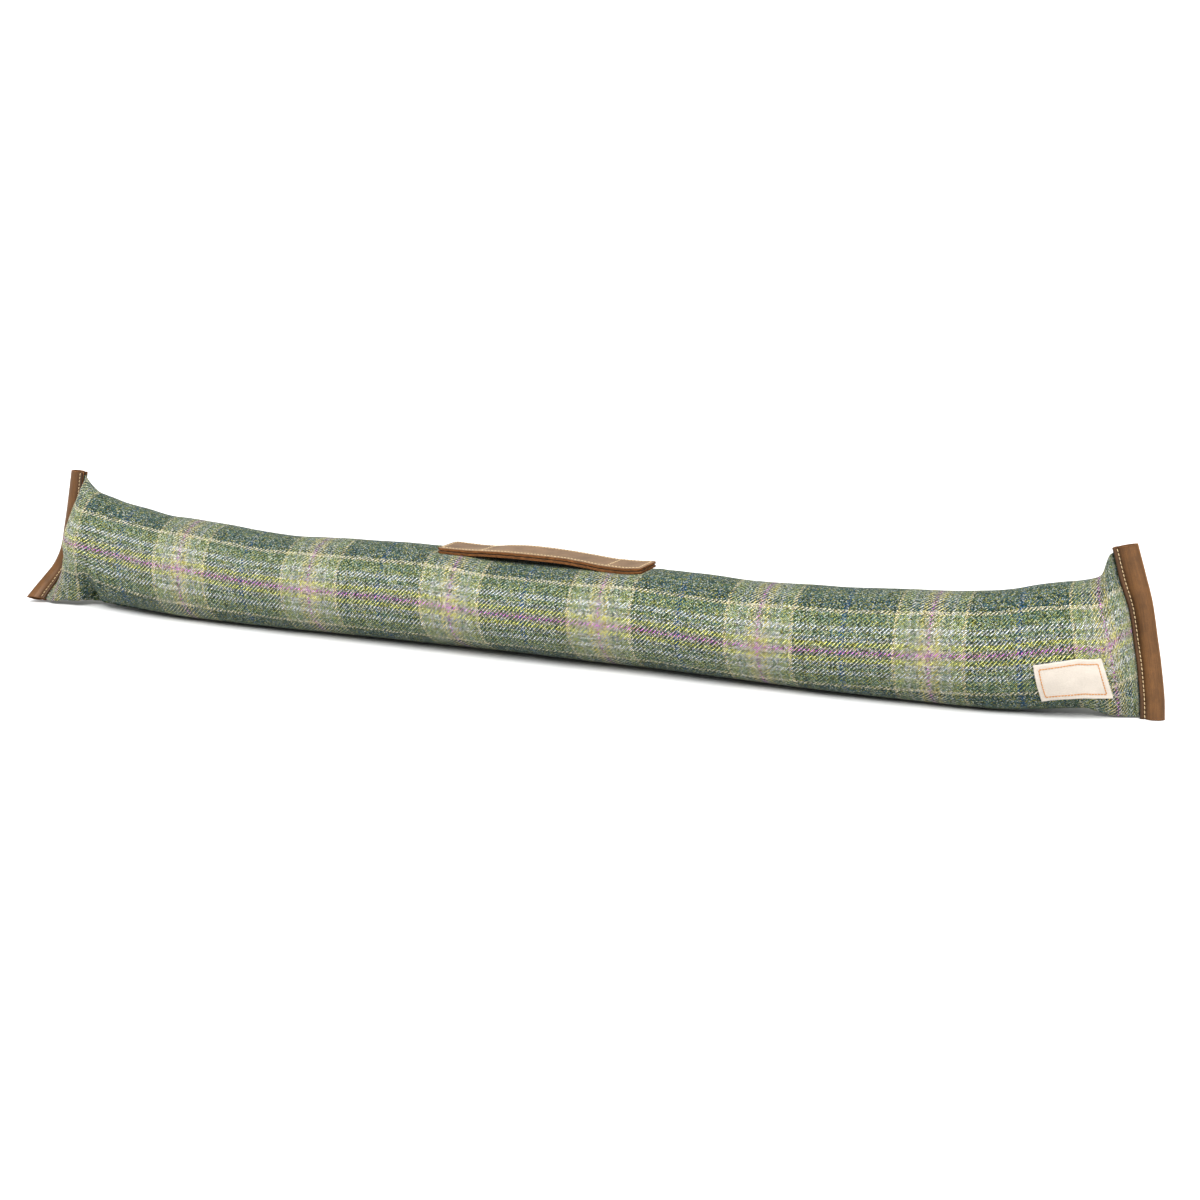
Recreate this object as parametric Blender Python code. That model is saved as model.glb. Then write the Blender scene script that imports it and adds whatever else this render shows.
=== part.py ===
"""Draught excluder: a filled cloth tube that lies along the foot of a door.

The cloth tube is sewn flat and upright at each end, and each end seam is wrapped in a folded leather strip.
A carrying handle of two leather layers is sewn along the top, and a plain cotton label low at the right.

Frame: metres, +X along the tube to the end with the label, -Y the front, +Z up, the surface at Z = 0.
The origin is the middle of the flat underside.
"""

import math

import bmesh
import bpy
from mathutils import Vector

COLLECTION = "draught_excluder"

# Gap kept between pieces that touch
GAP = 0.0003

# Cloth: half of its thickness where it is sewn flat, and how far the flat seam reaches into its strip
CLOTH_HALF = 0.0012
SEAM_TONGUE = 0.0115
# The cloth's seam ends short of its strip at the top and at the foot
SEAM_SHORT_AT_TOP = 0.0025
SEAM_SHORT_AT_FOOT = 0.0004
GIRTH_POINTS = 36

# Leather strips, 1.6 mm thick, over the end seams. Each row is a place on the strip's outer face and one on its
# inner face: across is 0 at the free edges and 1 at the fold, and half is the distance from the middle plane.
# The flat flange lies 0.3 mm off the cloth's flat seam, and the fold is puffed.
STRIP_COLUMNS = ("outer_across", "outer_half", "inner_across", "inner_half")
STRIP_SECTION = (
    (0.00, 0.0031, 0.000, 0.0015),
    (0.20, 0.0031, 0.200, 0.0015),
    (0.34, 0.0034, 0.340, 0.0018),
    (0.50, 0.0040, 0.470, 0.0022),
    (0.68, 0.0042, 0.620, 0.0026),
    (0.84, 0.0034, 0.760, 0.0023),
    (0.95, 0.0020, 0.860, 0.0016),
    (1.00, 0.0000, 0.905, 0.0000),
)
STRIP_STEPS = 16

# Handle: two layers of leather, one on the other
HANDLE_WIDTH = 0.031
HANDLE_LAYER = 0.0020
HANDLE_STEPS = 24
# The tube is pressed down under the handle. It rises again at this slope past the handle's ends, and past its
# sides from DENT_FLAT on, as far as DENT_REACH. DENT_PLACES are the extra sections past each end.
DENT_SLOPE = 0.22
DENT_FLAT = 0.0060
DENT_REACH = 0.0180
DENT_PLACES = (0.0006, 0.0030, 0.0075, 0.0140)

# Label: where it starts along the tube, how far its middle is below the front-most line, and its turn
LABEL_LENGTH = 0.050
LABEL_HEIGHT = 0.0320
LABEL_THICKNESS = 0.0010
LABEL_START = 0.4115
LABEL_DROP = 0.0205
LABEL_TURN = math.radians(4.0)
LABEL_COLUMNS = 10
LABEL_ROWS = 6
# Steps in which the tube's skin is walked along and round, and how far its slope is read to each side
SKIN_STEP = 0.001
SKIN_TURN = math.radians(3.0)
SKIN_SLOPE_REACH = 0.004
# The skin is walked this far past the label's corners
LABEL_MARGIN = 0.005

# End seams from the top down: the line where the strip's free edges lie, and the line of its fold
SEAM_COLUMNS = ("edge_x", "edge_y", "edge_z", "fold_x", "fold_y", "fold_z")
LEFT_SEAM = (
    (-0.4433, 0.0120, 0.1152, -0.4602, 0.0157, 0.1156),
    (-0.4475, 0.0120, 0.0920, -0.4645, 0.0150, 0.0928),
    (-0.4535, 0.0120, 0.0640, -0.4708, 0.0150, 0.0648),
    (-0.4570, 0.0115, 0.0475, -0.4741, 0.0138, 0.0485),
    (-0.4602, 0.0095, 0.0380, -0.4767, 0.0120, 0.0390),
    (-0.4643, 0.0060, 0.0280, -0.4809, 0.0080, 0.0292),
    (-0.4692, 0.0015, 0.0190, -0.4860, 0.0012, 0.0205),
    (-0.4738, -0.0032, 0.0108, -0.4907, -0.0050, 0.0124),
    (-0.4772, -0.0090, 0.0028, -0.4943, -0.0131, 0.0042),
)
RIGHT_SEAM = (
    (0.4516, 0.0200, 0.1218, 0.4696, 0.0202, 0.1262),
    (0.4586, 0.0200, 0.0981, 0.4766, 0.0203, 0.1036),
    (0.4655, 0.0200, 0.0786, 0.4822, 0.0205, 0.0842),
    (0.4701, 0.0200, 0.0554, 0.4870, 0.0208, 0.0588),
    (0.4734, 0.0198, 0.0372, 0.4903, 0.0211, 0.0404),
    (0.4763, 0.0196, 0.0146, 0.4937, 0.0215, 0.0165),
    (0.4773, 0.0196, 0.0000, 0.4947, 0.0217, 0.0000),
)
# Share of a seam to each side over which its direction is read, and halvings to find a height on it
SEAM_SLOPE_SHARE = 0.02
SEAM_HALVINGS = 30

# Sections of the filled tube from left to right. x and y are the middle at mid-height. A foot below 0 is pressed
# flat on the surface. upper and lower say how full the halves are, 2 round and 1 a sharp wedge. lean is the
# share of the end seam's own shape.
SECTION_COLUMNS = ("x", "y", "foot", "top", "half_width", "upper", "lower", "lean")
SECTIONS = (
    (-0.4535, 0.0120, 0.0034, 0.1140, 0.0000, 1.30, 1.20, 1.00),
    (-0.4517, 0.0100, 0.0022, 0.1138, 0.0115, 1.25, 1.15, 0.98),
    (-0.4492, 0.0076, 0.0010, 0.1134, 0.0176, 1.30, 1.18, 0.92),
    (-0.4465, 0.0058, 0.0002, 0.1122, 0.0216, 1.40, 1.22, 0.86),
    (-0.4430, 0.0044, 0.0000, 0.1082, 0.0246, 1.60, 1.28, 0.78),
    (-0.4380, 0.0032, 0.0000, 0.1040, 0.0272, 1.75, 1.35, 0.69),
    (-0.4290, 0.0022, 0.0004, 0.1008, 0.0294, 1.85, 1.50, 0.55),
    (-0.4200, 0.0016, 0.0022, 0.0990, 0.0308, 1.92, 1.65, 0.42),
    (-0.4030, 0.0008, 0.0012, 0.0956, 0.0325, 1.95, 1.85, 0.25),
    (-0.3760, 0.0000, -0.0008, 0.0914, 0.0352, 2.00, 1.95, 0.11),
    (-0.3450, -0.0008, -0.0015, 0.0862, 0.0378, 2.00, 2.00, 0.03),
    (-0.3130, -0.0016, -0.0017, 0.0849, 0.0388, 2.00, 2.00, 0.00),
    (-0.2750, -0.0024, -0.0018, 0.0825, 0.0398, 2.00, 2.00, 0.00),
    (-0.2250, -0.0034, -0.0018, 0.0804, 0.0404, 2.00, 2.00, 0.00),
    (-0.1650, -0.0042, -0.0018, 0.0824, 0.0400, 2.00, 2.00, 0.00),
    (-0.1000, -0.0044, -0.0018, 0.0835, 0.0396, 2.00, 2.00, 0.00),
    (-0.0600, -0.0042, -0.0018, 0.0812, 0.0400, 2.00, 2.00, 0.00),
    (-0.0280, -0.0040, -0.0018, 0.0752, 0.0412, 2.00, 2.00, 0.00),
    (0.0000, -0.0038, -0.0018, 0.0750, 0.0413, 2.00, 2.00, 0.00),
    (0.0300, -0.0038, -0.0018, 0.0752, 0.0413, 2.00, 2.00, 0.00),
    (0.0600, -0.0038, -0.0018, 0.0780, 0.0408, 2.00, 2.00, 0.00),
    (0.0850, -0.0038, -0.0018, 0.0794, 0.0403, 2.00, 2.00, 0.00),
    (0.1250, -0.0038, -0.0018, 0.0808, 0.0402, 2.00, 2.00, 0.00),
    (0.1900, -0.0036, -0.0018, 0.0790, 0.0404, 2.00, 2.00, 0.00),
    (0.2500, -0.0032, -0.0018, 0.0796, 0.0404, 2.00, 2.00, 0.00),
    (0.3000, -0.0024, -0.0017, 0.0824, 0.0397, 2.00, 2.00, 0.00),
    (0.3440, -0.0008, -0.0012, 0.0852, 0.0385, 2.00, 2.00, 0.02),
    (0.3850, 0.0020, 0.0004, 0.0895, 0.0364, 2.00, 1.95, 0.10),
    (0.4080, 0.0046, 0.0026, 0.0942, 0.0344, 1.95, 1.90, 0.20),
    (0.4270, 0.0074, 0.0048, 0.0974, 0.0320, 1.92, 1.80, 0.35),
    (0.4380, 0.0096, 0.0058, 0.0986, 0.0302, 1.90, 1.60, 0.47),
    (0.4450, 0.0114, 0.0030, 0.0999, 0.0286, 1.85, 1.45, 0.57),
    (0.4530, 0.0138, 0.0008, 0.1014, 0.0262, 1.80, 1.32, 0.69),
    (0.4590, 0.0157, 0.0004, 0.1037, 0.0230, 1.65, 1.25, 0.80),
    (0.4625, 0.0171, 0.0004, 0.1118, 0.0196, 1.45, 1.20, 0.88),
    (0.4655, 0.0183, 0.0004, 0.1176, 0.0158, 1.30, 1.16, 0.94),
    (0.4680, 0.0193, 0.0004, 0.1188, 0.0105, 1.25, 1.15, 0.98),
    (0.4698, 0.0200, 0.0004, 0.1193, 0.0000, 1.30, 1.20, 1.00),
)
# Sections that are built from each end to the middle, and how much closer they are at the ends, 1 for even
HALF_STEPS = 26
CROWDING = 1.8

# Underside of the handle's lower layer, from left to right, at its front edge and at its back edge
HANDLE_COLUMNS = ("x", "front", "back")
HANDLE_LINE = (
    (-0.0777, 0.0793, 0.0792),
    (-0.0650, 0.0791, 0.0788),
    (-0.0520, 0.0792, 0.0785),
    (-0.0400, 0.0797, 0.0788),
    (-0.0230, 0.0803, 0.0807),
    (-0.0060, 0.0805, 0.0814),
    (0.0130, 0.0804, 0.0810),
    (0.0310, 0.0801, 0.0801),
    (0.0500, 0.0788, 0.0786),
    (0.0680, 0.0770, 0.0773),
    (0.0840, 0.0766, 0.0773),
    (0.1002, 0.0777, 0.0781),
)

# Edges sharper than this are shaded as edges
SHARP = math.radians(40.0)

# Colours, each with its roughness
CLOTH_GREEN = (0.20, 0.27, 0.19, 0.95)
LEATHER_BROWN = (0.15, 0.085, 0.042, 0.6)
HANDLE_TAN = (0.34, 0.22, 0.13, 0.55)
COTTON_CREAM = (0.80, 0.72, 0.62, 0.9)


def column(table, columns, name):
    """One named column of a table, as a list."""
    return [row[columns.index(name)] for row in table]


def smooth(places, values, place):
    """Value at a place on the curve through the values, which never overshoots them."""
    last = len(places) - 1
    if place <= places[0]:
        return values[0]
    if place >= places[last]:
        return values[last]
    right = next(i for i in range(1, last + 1) if place <= places[i])
    left = right - 1
    slopes = []
    for i in (left, right):
        if i in (0, last):
            slopes.append(0.0)
            continue
        before = (values[i] - values[i - 1]) / (places[i] - places[i - 1])
        after = (values[i + 1] - values[i]) / (places[i + 1] - places[i])
        slopes.append(2 * before * after / (before + after) if before * after > 0 else 0.0)
    width = places[right] - places[left]
    t = (place - places[left]) / width
    bend = width * (t * (1 - t) ** 2 * slopes[0] - t * t * (1 - t) * slopes[1])
    return values[left] + (values[right] - values[left]) * t * t * (3 - 2 * t) + bend


def rounded(places, values, place):
    """Value at a place on the rounded curve through evenly placed values."""
    last = len(places) - 1
    position = min(max(place * last, 0.0), last - 1e-9)
    i = int(position)
    t = position - i
    p1, p2 = values[i], values[i + 1]
    p0 = values[i - 1] if i > 0 else 2 * p1 - p2
    p3 = values[i + 2] if i + 2 <= last else 2 * p2 - p1
    return 0.5 * (
        2 * p1
        + (p2 - p0) * t
        + (2 * p0 - 5 * p1 + 4 * p2 - p3) * t * t
        + (3 * p1 - p0 - 3 * p2 + p3) * t ** 3
    )


def seam_lines(seam, share):
    """Points on the free edges' line and on the fold's line, share 0 at the top and 1 at the foot."""
    places = [i / (len(seam) - 1) for i in range(len(seam))]
    x, y, z, fold_x, fold_y, fold_z = (
        rounded(places, column(seam, SEAM_COLUMNS, name), share) for name in SEAM_COLUMNS
    )
    return Vector((x, y, z)), Vector((fold_x, fold_y, fold_z))


def seam_frame(seam, share):
    """Point on the free edges' line, direction across to the fold, and the strip's facing to the front."""
    edge, fold = seam_lines(seam, share)
    above, _ = seam_lines(seam, max(share - SEAM_SLOPE_SHARE, 0.0))
    below, _ = seam_lines(seam, min(share + SEAM_SLOPE_SHARE, 1.0))
    across = (fold - edge).normalized()
    facing = (below - above).normalized().cross(across).normalized()
    if facing.y > 0:
        facing.negate()
    return edge, across, facing


def seam_share(seam, rise):
    """Share along a seam for a rise from -1 at the cloth's foot to 1 at its top."""
    edge_z = column(seam, SEAM_COLUMNS, "edge_z")
    top = edge_z[0] - SEAM_SHORT_AT_TOP
    foot = edge_z[-1] + SEAM_SHORT_AT_FOOT
    height = foot + (top - foot) * (rise + 1) / 2
    low, high = 0.0, 1.0
    for _ in range(SEAM_HALVINGS):
        middle = (low + high) / 2
        if seam_lines(seam, middle)[0].z > height:
            low = middle
        else:
            high = middle
    return (low + high) / 2


def section_at(x):
    """The tube's section at a place along its length, as a dict of the table's columns."""
    places = column(SECTIONS, SECTION_COLUMNS, "x")
    found = {
        name: smooth(places, column(SECTIONS, SECTION_COLUMNS, name), x) for name in SECTION_COLUMNS[1:]
    }
    found["x"] = x
    return found


def handle_underside(x, y):
    """Height of the handle's lower face over a point inside its outline."""
    places = column(HANDLE_LINE, HANDLE_COLUMNS, "x")
    front = smooth(places, column(HANDLE_LINE, HANDLE_COLUMNS, "front"), x)
    back = smooth(places, column(HANDLE_LINE, HANDLE_COLUMNS, "back"), x)
    return front + (back - front) * min(max(y / HANDLE_WIDTH + 0.5, 0.0), 1.0)


def body_point(section, angle):
    """Point on the tube's skin. Angle 0 is the back, a quarter turn the top and a half turn the front."""
    rise = math.sin(angle)
    side = math.cos(angle)
    fullness = section["upper"] if rise > 0 else section["lower"]
    bulge = max(1 - abs(rise) ** fullness, 0.0) ** (1 / fullness)
    half = section["half_width"] * bulge + CLOTH_HALF * math.sqrt(abs(side))
    seam = LEFT_SEAM if section["x"] < 0 else RIGHT_SEAM
    lean = section["lean"]
    middle_height = (section["top"] + section["foot"]) / 2
    half_height = (section["top"] - section["foot"]) / 2
    point = Vector((section["x"], section["y"], middle_height + half_height * rise))
    outward = Vector((0, 1, 0))
    if lean > 0:
        edge, _, facing = seam_frame(seam, seam_share(seam, rise))
        middle, _ = seam_lines(seam, seam_share(seam, 0))
        point.x += lean * (edge.x - middle.x)
        point.y += lean * (edge.y - middle.y)
        outward = (outward * (1 - lean) - facing * lean).normalized()
    point += outward * math.copysign(half, side)
    past_end = max(HANDLE_LINE[0][0] - point.x, point.x - HANDLE_LINE[-1][0])
    past_side = abs(point.y) - HANDLE_WIDTH / 2
    if rise > 0 and max(past_end, past_side) < DENT_REACH:
        rising = DENT_SLOPE * max(past_end - GAP, past_side - DENT_FLAT, 0.0)
        point.z = min(point.z, handle_underside(point.x, point.y) - GAP + rising)
    point.z = max(point.z, 0.0)
    return point


def ring_angles():
    """Angles round a section, with points at the top and the foot."""
    return [2 * math.pi * i / GIRTH_POINTS for i in range(GIRTH_POINTS)]


def tongue_ring(seam, reach):
    """Flat seam section that lies inside a strip, at a reach from the strip's free edges towards its fold."""
    points = []
    for angle in ring_angles():
        edge, across, facing = seam_frame(seam, seam_share(seam, math.sin(angle)))
        half = CLOTH_HALF * math.sqrt(abs(math.cos(angle)))
        point = edge + across * reach - facing * math.copysign(half, math.cos(angle))
        point.z = max(point.z, 0.0)
        points.append(point)
    return points


def body_places():
    """Places of the tube's sections: close together at the ends, even under the handle, wider between."""
    start, stop = SECTIONS[0][0], SECTIONS[-1][0]
    middle = (start + stop) / 2
    handle_left, handle_right = HANDLE_LINE[0][0], HANDLE_LINE[-1][0]
    places = []
    for end, side in ((start, 1), (stop, -1)):
        for i in range(1, HALF_STEPS):
            x = end + side * (middle - start) * (i / HALF_STEPS) ** CROWDING
            if not handle_left - DENT_REACH < x < handle_right + DENT_REACH:
                places.append(x)
    for past_end in DENT_PLACES:
        places += [handle_left - past_end, handle_right + past_end]
    for i in range(HANDLE_STEPS + 1):
        places.append(handle_left + (handle_right - handle_left) * i / HANDLE_STEPS)
    return sorted(places)


def mesh_object(name, points, faces, colour, collection):
    """Object with its own material from points and faces, smooth except at its sharp edges."""
    mesh = bpy.data.meshes.new(name)
    mesh.from_pydata([tuple(p) for p in points], [], faces)
    sheet = bmesh.new()
    sheet.from_mesh(mesh)
    bmesh.ops.recalc_face_normals(sheet, faces=sheet.faces)
    sheet.to_mesh(mesh)
    sheet.free()
    mesh.shade_smooth()
    mesh.set_sharp_from_angle(angle=SHARP)
    material = bpy.data.materials.new(name)
    material.use_nodes = True
    shader = material.node_tree.nodes["Principled BSDF"]
    shader.inputs["Base Color"].default_value = (*colour[:3], 1)
    shader.inputs["Roughness"].default_value = colour[3]
    shader.inputs["Metallic"].default_value = 0.0
    mesh.materials.append(material)
    made = bpy.data.objects.new(name, mesh)
    collection.objects.link(made)
    return made


def loft_faces(rings, size):
    """Quads between neighbouring rings of the same size."""
    faces = []
    for r in range(rings - 1):
        for i in range(size):
            j = (i + 1) % size
            faces.append((r * size + i, (r + 1) * size + i, (r + 1) * size + j, r * size + j))
    return faces


def flat_cap(first, size):
    """Faces that close a flat ring, across its thickness from the top to the foot."""
    top = size // 4
    faces = []
    for k in range(size // 2):
        corners = [(top - k) % size, (top - k - 1) % size, (top + k + 1) % size, (top + k) % size]
        faces.append([first + c for c in dict.fromkeys(corners)])
    return faces


def make_body(collection):
    """Filled cloth tube with the flat seams at its two ends."""
    rings = [tongue_ring(LEFT_SEAM, SEAM_TONGUE), tongue_ring(LEFT_SEAM, 0)]
    for x in body_places():
        section = section_at(x)
        rings.append([body_point(section, angle) for angle in ring_angles()])
    rings += [tongue_ring(RIGHT_SEAM, 0), tongue_ring(RIGHT_SEAM, SEAM_TONGUE)]
    points = [p for ring in rings for p in ring]
    faces = loft_faces(len(rings), GIRTH_POINTS)
    faces += flat_cap(0, GIRTH_POINTS)
    faces += flat_cap((len(rings) - 1) * GIRTH_POINTS, GIRTH_POINTS)
    return mesh_object("body", points, faces, CLOTH_GREEN, collection)


def make_strip(name, seam, collection):
    """Leather strip folded over an end seam, open at both its ends."""
    outer_across, outer_half, inner_across, inner_half = (
        column(STRIP_SECTION, STRIP_COLUMNS, name) for name in STRIP_COLUMNS
    )
    front_outer = list(zip(outer_across, outer_half))
    front_inner = list(zip(inner_across, inner_half))
    back_outer = [(across, -half) for across, half in front_outer[-2::-1]]
    back_inner = [(across, -half) for across, half in front_inner[:-1]]
    outline = front_outer + back_outer + back_inner + front_inner[::-1]
    size = len(outline)
    points = []
    for i in range(STRIP_STEPS + 1):
        share = i / STRIP_STEPS
        edge, across, facing = seam_frame(seam, share)
        width = (seam_lines(seam, share)[1] - edge).length - GAP
        for along, half in outline:
            point = edge + across * (GAP + width * along) + facing * half
            point.z = max(point.z, 0.0)
            points.append(point)
    faces = loft_faces(STRIP_STEPS + 1, size)
    for first in (0, STRIP_STEPS * size):
        for k in range(size // 2 - 1):
            wall = (k, k + 1, size - 2 - k, size - 1 - k)
            faces.append([first + c for c in wall])
    return mesh_object(name, points, faces, LEATHER_BROWN, collection)


def make_handle_layer(name, lift, collection):
    """One leather layer of the handle, lifted above the handle's underside."""
    places = column(HANDLE_LINE, HANDLE_COLUMNS, "x")
    start, stop = places[0], places[-1]
    half_width = HANDLE_WIDTH / 2
    points = []
    for i in range(HANDLE_STEPS + 1):
        x = start + (stop - start) * i / HANDLE_STEPS
        front = handle_underside(x, -half_width) + lift
        back = handle_underside(x, half_width) + lift
        points += [(x, -half_width, front), (x, half_width, back)]
        points += [(x, half_width, back + HANDLE_LAYER), (x, -half_width, front + HANDLE_LAYER)]
    last = HANDLE_STEPS * 4
    faces = loft_faces(HANDLE_STEPS + 1, 4)
    faces += [(0, 1, 2, 3), (last, last + 1, last + 2, last + 3)]
    return mesh_object(name, points, faces, HANDLE_TAN, collection)


def on_skin(x, drop):
    """Point on the tube's front skin, at a distance down its girth from the front-most line."""
    section = section_at(x)
    angle = math.pi
    point = body_point(section, angle)
    turn = math.copysign(SKIN_TURN, drop)
    walked = 0.0
    while True:
        following = body_point(section, angle + turn)
        length = (following - point).length
        if walked + length >= abs(drop):
            return point.lerp(following, (abs(drop) - walked) / length)
        walked += length
        angle += turn
        point = following


def over_skin(x, drop, lift):
    """Point at a height over the tube's front skin."""
    reach = SKIN_SLOPE_REACH
    along = on_skin(x + reach, drop) - on_skin(x - reach, drop)
    down = on_skin(x, drop + reach) - on_skin(x, drop - reach)
    outward = along.cross(down).normalized()
    if outward.y > 0:
        outward.negate()
    return on_skin(x, drop) + outward * lift


def label_places():
    """Places along the tube that are one step apart on its skin, from a margin before the label's edge."""
    places = [LABEL_START - LABEL_MARGIN]
    while len(places) * SKIN_STEP < LABEL_LENGTH + 2 * LABEL_MARGIN:
        x = places[-1]
        stretch = (on_skin(x + SKIN_STEP, LABEL_DROP) - on_skin(x, LABEL_DROP)).length / SKIN_STEP
        places.append(x + SKIN_STEP / stretch)
    return places


def make_label(collection):
    """Cotton label that lies on the tube's front skin near the right end."""
    places = label_places()
    steps = [i * SKIN_STEP for i in range(len(places))]
    middle = LABEL_MARGIN + LABEL_LENGTH / 2
    points = []
    for lift in (GAP, GAP + LABEL_THICKNESS):
        for row in range(LABEL_ROWS + 1):
            for i in range(LABEL_COLUMNS + 1):
                along = LABEL_LENGTH * (i / LABEL_COLUMNS - 0.5)
                down = LABEL_HEIGHT * (row / LABEL_ROWS - 0.5)
                x = smooth(steps, places, middle + along * math.cos(LABEL_TURN) + down * math.sin(LABEL_TURN))
                drop = LABEL_DROP - along * math.sin(LABEL_TURN) + down * math.cos(LABEL_TURN)
                points.append(over_skin(x, drop, lift))
    wide = LABEL_COLUMNS + 1
    layer = wide * (LABEL_ROWS + 1)
    faces = []
    for first in (0, layer):
        for row in range(LABEL_ROWS):
            for i in range(LABEL_COLUMNS):
                corner = first + row * wide + i
                faces.append((corner, corner + 1, corner + wide + 1, corner + wide))
    rim = list(range(wide))
    rim += [row * wide + LABEL_COLUMNS for row in range(1, LABEL_ROWS + 1)]
    rim += [LABEL_ROWS * wide + i for i in range(LABEL_COLUMNS - 1, -1, -1)]
    rim += [row * wide for row in range(LABEL_ROWS - 1, 0, -1)]
    for a, b in zip(rim, rim[1:] + rim[:1]):
        faces.append((a, b, b + layer, a + layer))
    return mesh_object("label", points, faces, COTTON_CREAM, collection)


def main():
    for old in list(bpy.data.objects):
        bpy.data.objects.remove(old)
    collection = bpy.data.collections.new(COLLECTION)
    bpy.context.scene.collection.children.link(collection)
    make_body(collection)
    make_strip("binding_left", LEFT_SEAM, collection)
    make_strip("binding_right", RIGHT_SEAM, collection)
    make_handle_layer("handle_lower", 0.0, collection)
    make_handle_layer("handle_upper", HANDLE_LAYER + GAP, collection)
    make_label(collection)


main()
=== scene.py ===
"""Draught excluder: a wool tweed tube with leather end strips, a leather handle and a cotton label."""

import math

import bmesh
import bpy
import numpy as np
from mathutils import Matrix, Vector, noise


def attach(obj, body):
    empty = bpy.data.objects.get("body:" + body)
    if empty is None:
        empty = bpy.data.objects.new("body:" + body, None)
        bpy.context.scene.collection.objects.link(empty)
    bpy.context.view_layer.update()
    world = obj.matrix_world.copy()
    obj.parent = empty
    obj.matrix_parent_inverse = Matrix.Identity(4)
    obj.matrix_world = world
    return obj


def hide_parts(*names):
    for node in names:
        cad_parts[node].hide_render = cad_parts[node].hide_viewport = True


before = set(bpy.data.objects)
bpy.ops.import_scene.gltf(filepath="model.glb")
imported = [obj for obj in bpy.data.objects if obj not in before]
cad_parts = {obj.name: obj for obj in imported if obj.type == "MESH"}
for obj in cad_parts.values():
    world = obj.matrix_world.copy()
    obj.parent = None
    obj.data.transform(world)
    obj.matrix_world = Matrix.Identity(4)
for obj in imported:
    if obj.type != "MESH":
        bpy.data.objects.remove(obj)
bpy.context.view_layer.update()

# Shape tables, as in the CAD source
GAP = 0.0003
CLOTH_HALF = 0.0012
SEAM_TONGUE = 0.0115
SEAM_SHORT_AT_TOP = 0.0025
SEAM_SHORT_AT_FOOT = 0.0004
GIRTH = 0.2513
HANDLE_WIDTH = 0.031
HANDLE_LAYER = 0.0020

SEAM_COLUMNS = ("edge_x", "edge_y", "edge_z", "fold_x", "fold_y", "fold_z")
LEFT_SEAM = (
    (-0.4433, 0.0120, 0.1152, -0.4602, 0.0157, 0.1156),
    (-0.4475, 0.0120, 0.0920, -0.4645, 0.0150, 0.0928),
    (-0.4535, 0.0120, 0.0640, -0.4708, 0.0150, 0.0648),
    (-0.4570, 0.0115, 0.0475, -0.4741, 0.0138, 0.0485),
    (-0.4602, 0.0095, 0.0380, -0.4767, 0.0120, 0.0390),
    (-0.4643, 0.0060, 0.0280, -0.4809, 0.0080, 0.0292),
    (-0.4692, 0.0015, 0.0190, -0.4860, 0.0012, 0.0205),
    (-0.4738, -0.0032, 0.0108, -0.4907, -0.0050, 0.0124),
    (-0.4772, -0.0090, 0.0028, -0.4943, -0.0131, 0.0042),
)
RIGHT_SEAM = (
    (0.4516, 0.0200, 0.1218, 0.4696, 0.0202, 0.1262),
    (0.4586, 0.0200, 0.0981, 0.4766, 0.0203, 0.1036),
    (0.4655, 0.0200, 0.0786, 0.4822, 0.0205, 0.0842),
    (0.4701, 0.0200, 0.0554, 0.4870, 0.0208, 0.0588),
    (0.4734, 0.0198, 0.0372, 0.4903, 0.0211, 0.0404),
    (0.4763, 0.0196, 0.0146, 0.4937, 0.0215, 0.0165),
    (0.4773, 0.0196, 0.0000, 0.4947, 0.0217, 0.0000),
)
SECTION_COLUMNS = ("x", "y", "foot", "top", "half_width", "upper", "lower", "lean")
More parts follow.
